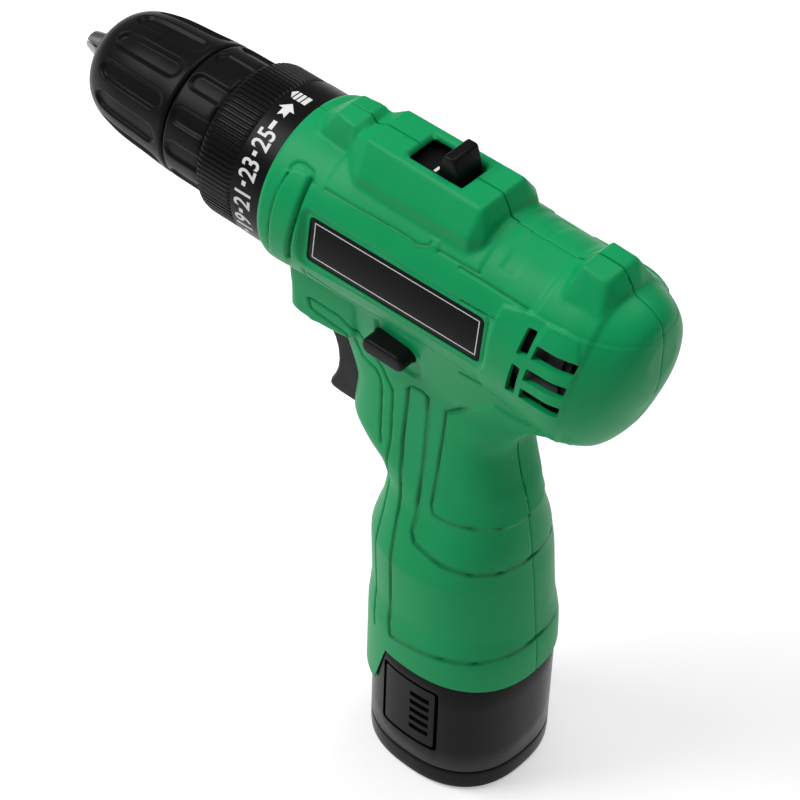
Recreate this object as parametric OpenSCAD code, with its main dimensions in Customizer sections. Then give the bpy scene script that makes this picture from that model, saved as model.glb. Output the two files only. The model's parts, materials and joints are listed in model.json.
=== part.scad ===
/* [Overall] */
// Height of the barrel axis above the battery foot
axis_h = 168; // [164:1:180]
// Length of the housing barrel, front edge to rear cap
barrel_len = 106.5; // [104:0.5:110]
// Distance from the back of the torque ring to the middle of the foot
foot_back = 53; // [52:0.5:54]

/* [Housing] */
// Wall of the moulded housing
wall = 2; // [1.7:0.1:2.1]
// Outer radius at the front edge of the barrel
barrel_r = 23; // [22.8:0.1:24]
// Half width of the barrel at the motor
barrel_half_w = 20.5; // [20.4:0.1:22]
// Half height of the barrel at the motor
barrel_half_h = 23.4; // [23.2:0.1:24]
// Height of the raised saddle above the barrel axis
saddle_h = 29.6; // [29:0.1:33]
// Half width of the neck above the trigger
neck_half_w = 12.8; // [12.4:0.1:15]
// Half width of the grip where the battery slides in
sleeve_half_w = 22.8; // [22.6:0.1:24]

/* [Chuck and torque ring] */
// Largest radius of the chuck sleeves
sleeve_r = 18.6; // [18.4:0.1:20]
// Length of the front sleeve
front_sleeve_len = 34; // [33.5:0.1:36]
// Radius of each jaw
jaw_r = 3.1; // [2.8:0.05:3.3]
// Angle of each jaw to the chuck axis, in degrees
jaw_angle = 16; // [15:0.5:17]
// Radius of the torque ring's number band
ring_r = 21.3; // [21:0.1:21.6]
// Length of the torque ring in front of the housing
ring_len = 23.6; // [23:0.1:25]

/* [Gearbox] */
// Module of the gear teeth
gear_m = 0.6; // [0.56:0.01:0.61]
// Play between meshing teeth
backlash = 0.16; // [0.12:0.02:0.24]
// Outer radius of the gear case
case_r = 18.2; // [18:0.05:18.3]
// Radius of the spindle
spindle_r = 6; // [5.5:0.1:6.5]
// Travel of the speed selector
shift_travel = 6; // [4:0.5:6]

/* [Motor] */
// Radius of the motor can
motor_r = 17.6; // [16.5:0.1:17.8]
// Length of the motor can
motor_len = 52; // [46:1:53]
// Radius of the motor shaft
shaft_r = 1.6; // [1.5:0.1:2]

/* [Trigger] */
// Width of the trigger
trigger_w = 16.4; // [14:0.2:17]
// Travel of the trigger
trigger_travel = 6; // [4:0.5:6.5]
// Travel of the direction button
direction_travel = 5; // [3:0.5:5.5]

/* [Battery] */
// Length of the battery foot, front to back
foot_l = 47; // [46.4:0.2:49]
// Width of the battery foot
foot_w = 45.4; // [44.6:0.2:46]
// Height of the battery below the handle
foot_h = 42; // [40:1:46]
// Radius of one cell
cell_r = 9; // [8.6:0.05:9]
// Length of one cell
cell_len = 65; // [62:1:65]

/* [Clearances] */
// Radial clearance of a running fit
run_gap = 0.05; // [0.03:0.01:0.08]
// Gap between faces that slide past each other
face_gap = 0.3; // [0.2:0.05:0.4]
// Gap between pieces that are fixed together
seat_gap = 0.1; // [0.05:0.05:0.2]

/* [Hidden] */
$fn = 64;

green = [0.02, 0.58, 0.3];
black = [0.06, 0.06, 0.065];
grey = [0.16, 0.16, 0.17];
steel = [0.62, 0.62, 0.64];
bright = [0.8, 0.8, 0.82];
brass = [0.8, 0.62, 0.25];
copper = [0.72, 0.4, 0.2];

// Places along the barrel, measured rearwards from just behind the torque ring.
edge_x = -1.4;
ring_front = edge_x - ring_len;
case_back = 38;
case_front = -3;
cover_t = 2;
nose_front = ring_front + 2.8;
nose_r = 13;
nose_web_t = 1.6;
plate_3_hole = 13;
ring_back = 0.3;
ring_wall_t = 1.6;
motor_front = case_back + cover_t;
motor_back = motor_front + motor_len;
chuck_back = ring_front - 2;
seam_x = -38.2;
nose_x = seam_x - front_sleeve_len;
knurl_back = -12;
press_gap = 0.02;

// Chuck: the jaws' tips meet on the axis, ahead of the nose.
jaw_tip_x = nose_x - 8.6;
jaw_tip_r = 2.5;
jaw_len = 34.5;
jaw_start_r = jaw_tip_r - jaw_r / cos(jaw_angle);
jaw_face = 0.25;
nut_x0 = -54.5;
nut_x1 = -49;
nut_r = 14.8;
sleeve_bore_r = nut_r + seat_gap;
body_r = 13.2;
groove_r = 9.4;
hub_r = 9.6;
hub_len = 5;
nose_bore_r = 8.1;
rear_bore_r = 16.8;
thread_r = 4.75;

// Gear train: every stage has the same numbers of teeth.
sun_z = 18;
planet_z = 15;
ring_z = 48;
tooth_top = 0.9;
tooth_root = 1.25;
orbit_r = gear_m * (sun_z + planet_z) / 2;
ring_pitch_r = gear_m * ring_z / 2;
planet_count = 3;
pin_r = 2;
ring_out_r = 16.8;
case_bore_r = ring_out_r + seat_gap;
plate_r = ring_pitch_r - gear_m * tooth_top - 0.4;
planets_1 = [30.5, 36.8];
planets_2 = [19.6, 27.3];
planets_3 = [1.5, 8.3];
plate_1 = [27.9, 30.2];
plate_2 = [14.6, 19.2];
plate_3 = [-2.6, 1.1];
shift_ring_x = [16, 27.9];
shift_groove_x = [25.3, 26.9];
clutch_ring_x = [0.4, 9];
ball_r = 1.6;
ball_orbit = 15.6;
ball_count = 6;
ball_x = -1.5;
pressure_x = [-5, -3.4];
spring_r = 1.9;
nut_x = [-14, -10];
nut_out_r = 18.2;
ring_bore_r = 18.5;
key_w = 3;
key_depth = 1.6;
key_count = 4;
bearing_r = 10.5;
bearing_w = 5;
nose_step = nose_front + bearing_w + 0.2;

// Heights in the neck, measured up from the barrel axis.
trigger_top = -35;
trigger_foot = -59.5;
trigger_back = 23;
button_z = -23.8;
button_h = 4.8;
button_x = [30, 43.4];
switch_x = [30, 59];
switch_top = button_z - button_h / 2 - face_gap;
switch_foot = -49;
switch_w = 17;
plunger_r = 2.4;

// Speed selector on the saddle.
window_x = [31.4, 48.4];
window_half_w = 5;
knob_x = [40.6, 46.8];
knob_top = 35.2;
plate_z = [24.4, 26.2];
selector_x = [28.2, 55.5];
selector_half_w = 5.8;
wire_x = 26.1;
wire_back = 29.4;
wire_z = 18.9;
wire_y = 6.5;
wire_r = 0.6;

// Battery, measured up from the foot and back from its middle.
base_h = 7.5;
base_floor = 3.2;
foot_n = 2.4;
stick_top = 75.5;
stick_a = foot_l / 2 - 2.6;
stick_b = 19.4;
stick_n = 2.3;
stick_t = 0.8;
stick_x = -2;
cell_z = 5.2;
cell_orbit = cell_r * 2 / sqrt(3) + 0.05;
cell_x = stick_x - 0.5;
latch_x = [-8.5, 8.5];
latch_z = [15, 37];
latch_t = 1.4;
latch_travel = 1.2;
latch_y = foot_w / 2 - 0.7;

// Lip of the housing's collar over the front of the foot.
lip_h = 10;
lip_back = foot_back - 9;

// Socket for the battery's contacts.
socket_z = stick_top + 3.5;
socket_l = 26;
socket_w = 20;

// Badge on each side of the barrel: its lower front corner, size and lean.
badge_x = 13.8;
badge_z = -4.2;
badge_len = 54.4;
badge_h = 13.1;
badge_t = 0.8;
badge_lean = 7;
badge_yaw = 0.9;

// Housing screws: [back, up from the barrel axis, head's seat, tip] across the drill
screw_spots = [[12.6, 25.2, 2.6, -4.4], [91.4, 22.6, 2.6, -4.4], [6.8, -27, 7, -7],
    [66.5, -35, 7, -7], [35, -72.5, 7, -7]];
screw_r = 1.4;
screw_head_r = 2.6;
boss_r = 2.9;

// ---- helpers ----

module at_barrel() {
    translate([-foot_back, 0, axis_h]) children();
}

// A cylinder or cone along the barrel, from x0 back to x1.
module along(x0, x1, r0, r1 = undef) {
    translate([x0, 0, 0]) rotate([0, 90, 0])
        cylinder(h = x1 - x0, r1 = r0, r2 = is_undef(r1) ? r0 : r1);
}

module tube_along(x0, x1, r_out, r_in) {
    difference() {
        along(x0, x1, r_out);
        along(x0 - 1, x1 + 1, r_in);
    }
}

// A solid turned about the barrel axis, from a list of [x, r] points.
module turned(points) {
    rotate([0, 90, 0]) rotate_extrude() polygon([for (p = points) [p[1], p[0]]]);
}

// An outline in the plane square to the barrel, extruded from x0 back to x1.
module outline_along(x0, x1, points) {
    translate([x0, 0, 0]) rotate([0, 90, 0]) linear_extrude(x1 - x0) polygon(points);
}

// An [x, z] profile extruded across the drill and centred on the seam.
module across(points, w) {
    translate([0, w / 2, 0]) rotate([90, 0, 0]) linear_extrude(w) polygon(points);
}

// A box from its two corners.
module block(low, high) {
    translate(low) cube(high - low);
}

// A cylinder across the drill, from y0 to y1.
module crosswise(x, z, y0, y1, r) {
    translate([x, y0, z]) rotate([-90, 0, 0]) cylinder(h = y1 - y0, r = r);
}

module third(k) {
    rotate([120 * k, 0, 0]) children();
}

function polar(r, a) = [r * cos(a), r * sin(a)];

function oval(a, b, n = 2.4, count = 40) = [for (i = [0 : count - 1])
    let (c = cos(360 * i / count), s = sin(360 * i / count))
    [a * sign(c) * pow(abs(c), 2 / n), b * sign(s) * pow(abs(s), 2 / n)]];

// Skins a stack of rings that all have the same number of points.
module loft(rings) {
    n = len(rings[0]);
    m = len(rings);
    polyhedron(
        points = [for (r = rings) for (p = r) p],
        faces = concat(
            [[for (i = [0 : n - 1]) i]],
            [[for (i = [0 : n - 1]) (m - 1) * n + n - 1 - i]],
            [for (k = [0 : m - 2]) for (i = [0 : n - 1])
                [k * n + i, (k + 1) * n + i, (k + 1) * n + (i + 1) % n, k * n + (i + 1) % n]]),
        convexity = 6);
}

// ---- gears ----

// Angle in degrees that an involute has turned through at radius r.
function involute_angle(base, r) = r <= base ? 0
    : let (t = sqrt(r * r / (base * base) - 1)) t * 180 / PI - atan(t);

// Half of a tooth's angle at radius r, thinned by a share of the play.
function tooth_half(z, play, r) =
    let (pitch = gear_m * z / 2, base = pitch * cos(20))
    90 / z - play / 4 / pitch * 180 / PI + involute_angle(base, pitch) - involute_angle(base, r);

// A gear's outline with its first tooth along +X. A negative play and swapped
// radii give the hole of an internal gear, whose first space is along +X.
function gear_outline(z, play, low_r, high_r) =
    let (base = gear_m * z / 2 * cos(20),
        radii = [low_r, max(low_r, base), (max(low_r, base) + high_r) / 2, high_r])
    [for (i = [0 : z - 1]) for (side = [-1, 1]) for (j = [0 : 3])
        let (r = radii[side < 0 ? j : 3 - j])
        polar(r, 360 * i / z + side * tooth_half(z, play, r))];

function spur(z) = let (pitch = gear_m * z / 2)
    gear_outline(z, backlash, pitch - gear_m * tooth_root, pitch + gear_m * tooth_top);

module ring_hole(x0, x1) {
    outline_along(x0, x1, gear_outline(ring_z, -backlash,
        ring_pitch_r - gear_m * tooth_top, ring_pitch_r + gear_m * tooth_root));
}

module planet(place, k) {
    color(steel) at_barrel() third(k) translate([0, 0, -orbit_r]) difference() {
        outline_along(place[0], place[1], spur(planet_z));
        along(place[0] - 1, place[1] + 1, pin_r + run_gap);
    }
}

// A carrier: its plate, three pins that reach back through its planets, and
// the sun gear of the next stage in front, when there is one.
module carrier(plate, place, r, sun_front) {
    color(steel) at_barrel() {
        difference() {
            union() {
                along(plate[0], plate[1], r);
                for (k = [0 : planet_count - 1])
                    third(k) translate([0, 0, -orbit_r]) along(plate[1] - 0.5, place[1], pin_r);
                if (!is_undef(sun_front))
                    outline_along(sun_front, plate[0] + 0.5, spur(sun_z));
            }
            if (is_undef(sun_front)) along(plate[0] - 1, plate[1] + 1, spindle_r - 2 + press_gap);
        }
    }
}

// ---- housing ----

// Stations of the barrel's skin: [back, half width, top, bottom]. The skin
// shrinks by t for the inside.
barrel_stations = [
    [11, barrel_r - 0.6, barrel_r - 0.2, 0.3 - barrel_r],
    [26, barrel_half_w + 0.9, barrel_half_h + 0.4, -barrel_half_h],
    [46, barrel_half_w + 0.2, barrel_half_h + 0.4, -barrel_half_h],
    [72, barrel_half_w, barrel_half_h, -barrel_half_h - 1],
    [barrel_len - 18, barrel_half_w - 0.1, barrel_half_h - 0.2, -barrel_half_h - 4.4],
    [barrel_len - 12.5, barrel_half_w - 1.6, barrel_half_h - 0.3, -barrel_half_h - 2.4],
    [barrel_len - 6.6, barrel_half_w - 5.4, barrel_half_h - 0.8, -barrel_half_h + 5],
    [barrel_len - 2.8, barrel_half_w - 8.9, barrel_half_h - 2.9, -barrel_half_h + 14.7],
    [barrel_len - 1, barrel_half_w - 12.2, barrel_half_h - 5.4, -barrel_half_h + 20],
    [barrel_len, barrel_half_w - 15, barrel_half_h - 9.8, -barrel_half_h + 24.4]];

function barrel_ring(x, w, top, foot, t) =
    [for (p = oval((top - foot) / 2 - t, w - t, 2)) [x, p[1], (top + foot) / 2 - p[0]]];

module barrel_skin(t, x0) {
    loft(concat([barrel_ring(x0, barrel_r, barrel_r, -barrel_r, t)],
        [for (s = barrel_stations) barrel_ring(s[0] - (s[0] > 80 ? t * (s[0] - 80) / (barrel_len - 80) : 0),
            s[1], s[2], s[3], t)]));
}

// Stations of the grip's skin: [height over the axis, front, back, half width,
// squareness].
foot_stop = axis_h - foot_h;
grip_front = foot_back - foot_l / 2 - 3.6;
grip_back = foot_back + foot_l / 2;
grip_stations = [
    [-foot_stop, grip_front + 0.7, grip_back + 1.5, sleeve_half_w + 0.1, 2.3],
    [-118, grip_front + 0.7, grip_back + 1.2, sleeve_half_w, 2.3],
    [-113, grip_front + 1, grip_back + 0.5, sleeve_half_w - 0.6, 2.3],
    [-108, grip_front + 0.9, grip_back, sleeve_half_w - 1, 2.2],
    [-100, grip_front + 0.5, grip_back - 0.8, sleeve_half_w - 1, 2.2],
    [-92, grip_front + 0.3, grip_back - 1.6, sleeve_half_w - 1, 2.2],
    [-87, grip_front + 1.5, grip_back - 2.4, sleeve_half_w - 2.2, 2.3],
    [-80, grip_front + 3.5, grip_back - 3.2, sleeve_half_w - 4.2, 2.4],
    [-74, grip_front + 3.8, grip_back - 4.2, neck_half_w + 3.8, 2.4],
    [-68, grip_front + 0.8, grip_back - 5.4, neck_half_w + 2.8, 2.4],
    [-63, grip_front - 3.8, grip_back - 6.8, neck_half_w + 2, 2.4],
    [-58, grip_front - 5.8, grip_back - 8.5, neck_half_w + 1.3, 2.4],
    [-48, grip_front - 4.4, grip_back - 10.4, neck_half_w + 0.5, 2.5],
    [-40, grip_front - 9, grip_back - 6.6, neck_half_w + 0.1, 2.5],
    [-33, grip_front - 17, grip_back + 0.6, neck_half_w + 0.3, 2.4],
    [-28, grip_front - 21.5, grip_back + 12.5, neck_half_w + 1, 2.2],
    [-21, grip_front - 23, grip_back + 17.5, neck_half_w + 2.2, 2.1],
    [-12, grip_front - 23, grip_back + 22, neck_half_w + 4.4, 2]];

function grip_ring(s, t) = [for (p = oval((s[2] - s[1]) / 2 - t, s[3] - t, s[4]))
    [(s[1] + s[2]) / 2 + p[0], p[1], s[0]]];

module grip_skin(t) {
    loft([for (s = grip_stations) grip_ring([s[0] - (s[0] < -118 ? t : 0), s[1], s[2], s[3], s[4]], t)]);
}

// Blocks on top of the barrel: [front, back, half width, foot, top, lean, corner]
top_blocks = [
    [18, 61, 12.8, 14, barrel_half_h, [1, 0.8], 4],
    [19, 60, 10.6, 20, saddle_h, [1.2, 2.8], 3],
    [5.5, 19.5, 8.4, 12, saddle_h + 0.4, [3, 3], 1.5],
    [barrel_len - 22, barrel_len - 9, 8, 12, saddle_h - 1.8, [3, 3], 1.5]];

// A block for the raised pads, whose top is smaller by lean = [along, across].
module pad(x0, x1, half_w, z0, z1, lean, round) {
    hull() for (front = [0, 1]) for (side = [-1, 1])
        for (level = [[z0, 0, 0], [z1 - 0.1, lean[0], lean[1]]])
            translate([front == 1 ? x0 + round + level[1] : x1 - round - level[1],
                side * (half_w - round - level[2]), level[0]])
                cylinder(h = 0.1, r = round, $fn = 20);
}

module housing_pads(t) {
    for (b = top_blocks)
        pad(b[0] + t, b[1] - t, b[2] - t, b[3], b[4] - t, b[5], b[6]);
}

// The chin in front of the trigger, and the lip of the collar that reaches down
// over the front of the battery foot.
module housing_outside() {
    barrel_skin(0, edge_x);
    grip_skin(0);
    housing_pads(0);
    hull() for (x = [3.8, 22]) for (side = [-1, 1]) for (low = [[-31.4, 0.2], [-14, 0.8]])
        translate([x, side * (neck_half_w - 1.2 + low[1]), low[0]]) sphere(r = 2.6, $fn = 20);
    difference() {
        translate([0, 0, -foot_stop - lip_h]) linear_extrude(lip_h + 0.5)
            polygon([for (p = grip_ring(grip_stations[0], 0.15)) [p[0], p[1]]]);
        block([lip_back, -40, -foot_stop - lip_h - 1], [foot_back + 60, 40, -foot_stop + 1]);
        translate([foot_back, 0, -foot_stop - lip_h - 1]) linear_extrude(lip_h + 1)
            polygon(oval(foot_l / 2 + face_gap, foot_w / 2 + face_gap, foot_n));
    }
}

module housing_inside() {
    difference() {
        union() {
            barrel_skin(wall, edge_x - 1);
            grip_skin(wall);
            housing_pads(wall);
            block([3.5, -neck_half_w + wall + 0.6, -32], [24, neck_half_w - wall - 0.6, -12]);
        }
        housing_ribs();
    }
    // runs for the selector's plate and for the wire below it
    block([selector_x[0] - shift_travel - face_gap, -selector_half_w - face_gap, plate_z[0] - face_gap],
        [selector_x[1] + face_gap, selector_half_w + face_gap, plate_z[1] + face_gap]);
    block([wire_back - wire_r - shift_travel - face_gap, -wire_y - wire_r - face_gap, barrel_half_h - 4],
        [wire_back + wire_r + face_gap, wire_y + wire_r + face_gap, plate_z[0]]);
    along(edge_x - 1, ring_back + 0.5, ring_r + face_gap);
    // room for the motor, the switch and the battery's stick, however thick the wall
    along(motor_front - 1, motor_back, motor_r + seat_gap / 2);
    block([switch_x[0] - seat_gap, -(switch_w + seat_gap) / 2, switch_foot - seat_gap / 2],
        [switch_x[1] + seat_gap, (switch_w + seat_gap) / 2, switch_top]);
    translate([foot_back + stick_x, 0, -foot_stop]) linear_extrude(stick_top - foot_h + seat_gap)
        polygon(oval(stick_a + seat_gap, stick_b + seat_gap, stick_n));
}

// Webs that hold the gear case, the motor, the switch and the battery socket.
module housing_ribs() {
    for (x = [5, 32]) difference() {
        block([x, -26, -26], [x + 2, 26, 21.5]);
        along(x - 1, x + 3, case_r + seat_gap);
    }
    for (x = [motor_front + 8, motor_back - 9]) difference() {
        block([x, -25, -26], [x + 2, 25, 21.5]);
        along(x - 1, x + 3, motor_r + seat_gap);
    }
    difference() {
        block([36, -14, -56], [46, 14, switch_foot - seat_gap]);
        block([38, -14, -57], [44, 14, switch_foot - 2.2]);
    }
    for (x = [33.5, 54]) for (side = [-1, 1]) scale([1, side, 1])
        block([x, switch_w / 2 + seat_gap, switch_foot - 2], [x + 1.6, 16, switch_top]);
    difference() {
        block([grip_front, -20, -axis_h + socket_z + 1.4], [grip_back, 20, -axis_h + socket_z + 3.2]);
        translate([foot_back + stick_x, 0, -axis_h + socket_z])
            block([-socket_l / 2 - seat_gap, -socket_w / 2 - seat_gap, 0],
                [socket_l / 2 + seat_gap, socket_w / 2 + seat_gap, 9]);
    }
    for (s = screw_spots) {
        crosswise(s[0], s[1], -30, s[2] - 1, boss_r, $fn = 20);
        crosswise(s[0], s[1], s[2] - 1.4, 30, screw_head_r + 1.3, $fn = 20);
    }
}

module housing_openings() {
    // trigger mouth and the plunger's way to the switch
    block([-2, -trigger_w / 2 - face_gap, trigger_foot - 0.6],
        [trigger_back + trigger_travel + face_gap, trigger_w / 2 + face_gap, trigger_top + 0.4]);
    // direction button
    hull() for (x = [button_x[0] + button_h / 2, button_x[1] - button_h / 2])
        crosswise(x, button_z, -30, 30, button_h / 2 + face_gap, $fn = 32);
    // selector window
    hull() for (x = [window_x[0] + 2, window_x[1] - 2]) for (y = [2 - window_half_w, window_half_w - 2])
        translate([x, y, 22]) cylinder(h = 20, r = 2, $fn = 24);
    // air slots: [front, back, height] lying, then [place, foot, top] upright
    for (side = [-1, 1]) scale([1, side, 1]) {
        for (s = [[84, 95.5, 12], [81.5, 93.5, 3], [79.5, 90, -6]]) hull() for (x = [s[0], s[1]])
            crosswise(x, s[2], -30, -11, 1.6, $fn = 16);
        for (s = [[79, 8, 13], [77, -6.5, 0]]) hull() for (z = [s[1], s[2]])
            crosswise(s[0], z, -30, -12, 1.2, $fn = 16);
    }
    badge_places() block([-0.2, -0.2 - badge_t, -0.2], [badge_len + 0.2, 20, badge_h + 0.2]);
    // way in for the battery
    translate([foot_back + stick_x, 0, -foot_stop - 1]) linear_extrude(5)
        polygon(oval(stick_a + 0.4, stick_b + 0.4, stick_n));
    // pilot holes for the screws, and their counterbores in the right half
    for (s = screw_spots) {
        crosswise(s[0], s[1], s[3] - 0.6, 40, screw_r + 0.15, $fn = 16);
        crosswise(s[0], s[1], s[2], 40, screw_head_r + 0.3, $fn = 20);
    }
}

// A frame at the lower front corner of each badge's outer face, with +Y outwards.
module badge_places() {
    for (side = [-1, 1]) scale([1, side, 1]) translate([badge_x, barrel_half_w + 0.35, badge_z])
        rotate([badge_lean, 0, -badge_yaw]) children();
}

module housing() {
    difference() {
        housing_outside();
        housing_inside();
        housing_openings();
    }
}

module housing_left() {
    color(green) at_barrel() difference() {
        housing();
        block([-40, 0, -200], [160, 60, 60]);
    }
}

module housing_right() {
    color(green) at_barrel() difference() {
        housing();
        block([-40, -60, -200], [160, 0, 60]);
    }
}

module housing_screws() {
    color(steel) at_barrel() for (s = screw_spots) {
        crosswise(s[0], s[1], s[3], s[2] + seat_gap, screw_r);
        crosswise(s[0], s[1], s[2] + seat_gap, s[2] + 2, screw_head_r);
    }
}

module badges() {
    color(black) at_barrel() badge_places() block([0, -badge_t, 0], [badge_len, 0, badge_h]);
}

// ---- gearbox ----

module gear_case() {
    color(grey) at_barrel() difference() {
        union() {
            along(case_front, case_back, case_r);
            along(case_front - nose_web_t, case_front, plate_3_hole + 0.9);
            along(nose_front, case_front, nose_r);
        }
        ring_hole(28.6, case_back + 1);
        along(0, 28.6, case_bore_r);
        along(case_front, 0.01, plate_3_hole);
        along(-9, case_front, spindle_r + run_gap);
        along(nose_step, -9, bearing_r - 0.8);
        along(nose_front - 1, nose_step, bearing_r + press_gap);
        for (k = [0 : ball_count - 1]) rotate([360 / ball_count * k + 30, 0, 0])
            translate([0, 0, ball_orbit]) along(case_front - 1, 1, ball_r + run_gap);
        for (side = [-1, 1])
            block([shift_groove_x[0] - shift_travel - 1, side * wire_y - 1, 10],
                [shift_groove_x[1] + 1, side * wire_y + 1, 30]);
    }
}

module gearbox_cover() {
    color(grey) at_barrel() difference() {
        along(case_back, motor_front, case_r);
        along(case_back - 1, motor_front + 1, 7);
        for (side = [-1, 1]) translate([0, side * motor_screw_orbit(), 0]) {
            along(case_back - 1, motor_front + 1, motor_screw_r() + seat_gap);
            along(case_back - 0.01, case_back + 1.6, 2.9, motor_screw_r() + seat_gap);
        }
    }
}
function motor_screw_r() = 1.4;
function motor_screw_orbit() = 12.5;

module motor_screws() {
    color(steel) at_barrel() for (side = [-1, 1]) translate([0, side * motor_screw_orbit(), 0]) {
        along(case_back + 0.2, case_back + 1.5, 2.5, motor_screw_r());
        along(case_back + 1.5, motor_front + 1.3, motor_screw_r());
    }
}

module spindle_bearing() {
    color(bright) at_barrel() difference() {
        tube_along(nose_front + 0.2, nose_front + 0.2 + bearing_w, bearing_r, spindle_r + run_gap);
        for (x = [nose_front + 0.1, nose_front + bearing_w - 0.2])
            tube_along(x, x + 0.5, bearing_r - 1.2, spindle_r + 1.2);
    }
}

module clutch_ring_gear() {
    color(steel) at_barrel() difference() {
        along(clutch_ring_x[0], clutch_ring_x[1], ring_out_r);
        ring_hole(clutch_ring_x[0] - 1, clutch_ring_x[1] + 1);
    }
}

module clutch_balls() {
    color(bright) at_barrel() for (k = [0 : ball_count - 1]) rotate([360 / ball_count * k + 30, 0, 0])
        translate([ball_x, 0, ball_orbit]) sphere(r = ball_r);
}

module pressure_plate() {
    color(steel) at_barrel() tube_along(pressure_x[0], pressure_x[1], nut_out_r - 0.4, plate_3_hole + 1.3);
}

module clutch_springs() {
    color(steel) at_barrel() for (k = [0 : ball_count - 1]) rotate([360 / ball_count * k + 30, 0, 0])
        translate([0, 0, ball_orbit])
            tube_along(nut_x[1] + seat_gap, pressure_x[0] - seat_gap, spring_r, spring_r - 0.7);
}

module clutch_nut() {
    color(grey) at_barrel() difference() {
        along(nut_x[0], nut_x[1], nut_out_r);
        along(nut_x[0] - 1, nut_x[1] + 1, nose_r + run_gap);
        for (k = [0 : key_count - 1]) rotate([90 * k, 0, 0])
            block([nut_x[0] - 1, -key_w / 2 - face_gap, nut_out_r - key_depth - face_gap],
                [nut_x[1] + 1, key_w / 2 + face_gap, 30]);
    }
}

module torque_ring() {
    front = ring_front;
    knurls = 90;
    color(black) at_barrel() difference() {
        union() {
            turned([[front, 10], [front, ring_r - 1.8], [front + 0.9, ring_r - 1], [knurl_back, ring_r - 1],
                [knurl_back, ring_r], [ring_back, ring_r], [ring_back, 10]]);
            outline_along(front + 0.9, knurl_back + 0.2, [for (i = [0 : 2 * knurls - 1])
                polar(ring_r - (i % 2 == 0 ? 0.15 : 0.75), 180 * i / knurls)]);
        }
        along(front - 1, front + ring_wall_t + 1, nose_r + run_gap);
        difference() {
            along(front + ring_wall_t, case_front + 0.1, ring_bore_r);
            for (k = [0 : key_count - 1]) rotate([90 * k, 0, 0])
                block([front, -key_w / 2, nut_out_r - key_depth], [nut_x[1], key_w / 2, 30]);
        }
        along(case_front, ring_back + 1, case_r + run_gap);
    }
}

module shift_ring() {
    color(steel) at_barrel() difference() {
        along(shift_ring_x[0], shift_ring_x[1], ring_out_r);
        ring_hole(shift_ring_x[0] - 1, shift_ring_x[1] + 1);
        tube_along(shift_groove_x[0], shift_groove_x[1], ring_out_r + 1, ring_out_r - 1);
    }
}

module planet_1a() { planet(planets_1, 0); }
module planet_1b() { planet(planets_1, 1); }
module planet_1c() { planet(planets_1, 2); }
module planet_2a() { planet(planets_2, 0); }
module planet_2b() { planet(planets_2, 1); }
module planet_2c() { planet(planets_2, 2); }
module planet_3a() { planet(planets_3, 0); }
module planet_3b() { planet(planets_3, 1); }
module planet_3c() { planet(planets_3, 2); }
module carrier_1() { carrier(plate_1, planets_1, plate_r, plate_2[1] + face_gap); }
module carrier_2() { carrier(plate_2, planets_2, plate_r, plate_3[1] + face_gap); }
module carrier_3() { carrier(plate_3, planets_3, plate_3_hole - face_gap, undef); }

module spindle() {
    color(steel) at_barrel() {
        along(plate_3[0], plate_3[1] - 0.4, spindle_r - 2);
        along(chuck_back, plate_3[0], spindle_r);
        along(-39.5, chuck_back, thread_r);
    }
}

// ---- chuck ----

// How far a jaw's middle line stands off the axis at x.
function jaw_line(x) = jaw_start_r + (x - jaw_tip_x) * tan(jaw_angle);

module jaw_bar(x0, length, r) {
    translate([x0, 0, jaw_line(x0)]) rotate([0, 90 - jaw_angle, 0]) cylinder(h = length, r = r);
}

module jaw(k) {
    color(bright) at_barrel() third(k) intersection() {
        jaw_bar(jaw_tip_x - 1, jaw_len + 1, jaw_r);
        outline_along(jaw_tip_x, 0,
            [[-jaw_face, 0], [-jaw_face - 20, 20 * tan(60)], [-jaw_face - 20, -20 * tan(60)]]);
    }
}

module jaw_1() { jaw(0); }
module jaw_2() { jaw(1); }
module jaw_3() { jaw(2); }

module chuck_body() {
    color(steel) at_barrel() difference() {
        turned([[chuck_back, 0], [chuck_back, hub_r], [chuck_back - hub_len, hub_r],
            [chuck_back - hub_len, body_r], [nut_x1 + 0.3, body_r],
            [nut_x1 + 0.3, groove_r], [nut_x0 - 0.3, groove_r], [nut_x0 - 0.3, body_r - 0.6],
            [nose_x + 12, body_r - 0.9], [nose_x - 1.6, 7.2], [nose_x - 1.6, 0]]);
        for (k = [0 : 2]) third(k) jaw_bar(jaw_tip_x, 60, jaw_r + run_gap);
        along(nose_x - 3, -43, 4.2);
        along(-44, -39.4, 4.2);
        along(-39.5, chuck_back + 1, thread_r + press_gap);
    }
}

module chuck_screw() {
    color(steel) at_barrel() along(-42.5, -39.6, 3.9);
}

module jaw_nut() {
    color(brass) at_barrel() difference() {
        along(nut_x0, nut_x1, nut_r);
        along(nut_x0 - 0.01, nut_x1 + 0.01, nut_bore(nut_x0), nut_bore(nut_x1));
    }
}
function nut_bore(x) = jaw_line(x) + jaw_r / cos(jaw_angle) + 0.15;

// Scooped flutes round a sleeve, each a straight cylinder cut.
module flutes(x0, x1, r, count, depth, width) {
    cut_r = (width * width / 4 + depth * depth) / (2 * depth);
    for (k = [0 : count - 1]) rotate([360 / count * k + 15, 0, 0])
        translate([0, 0, r + cut_r - depth]) along(x0, x1, cut_r);
}

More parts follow.
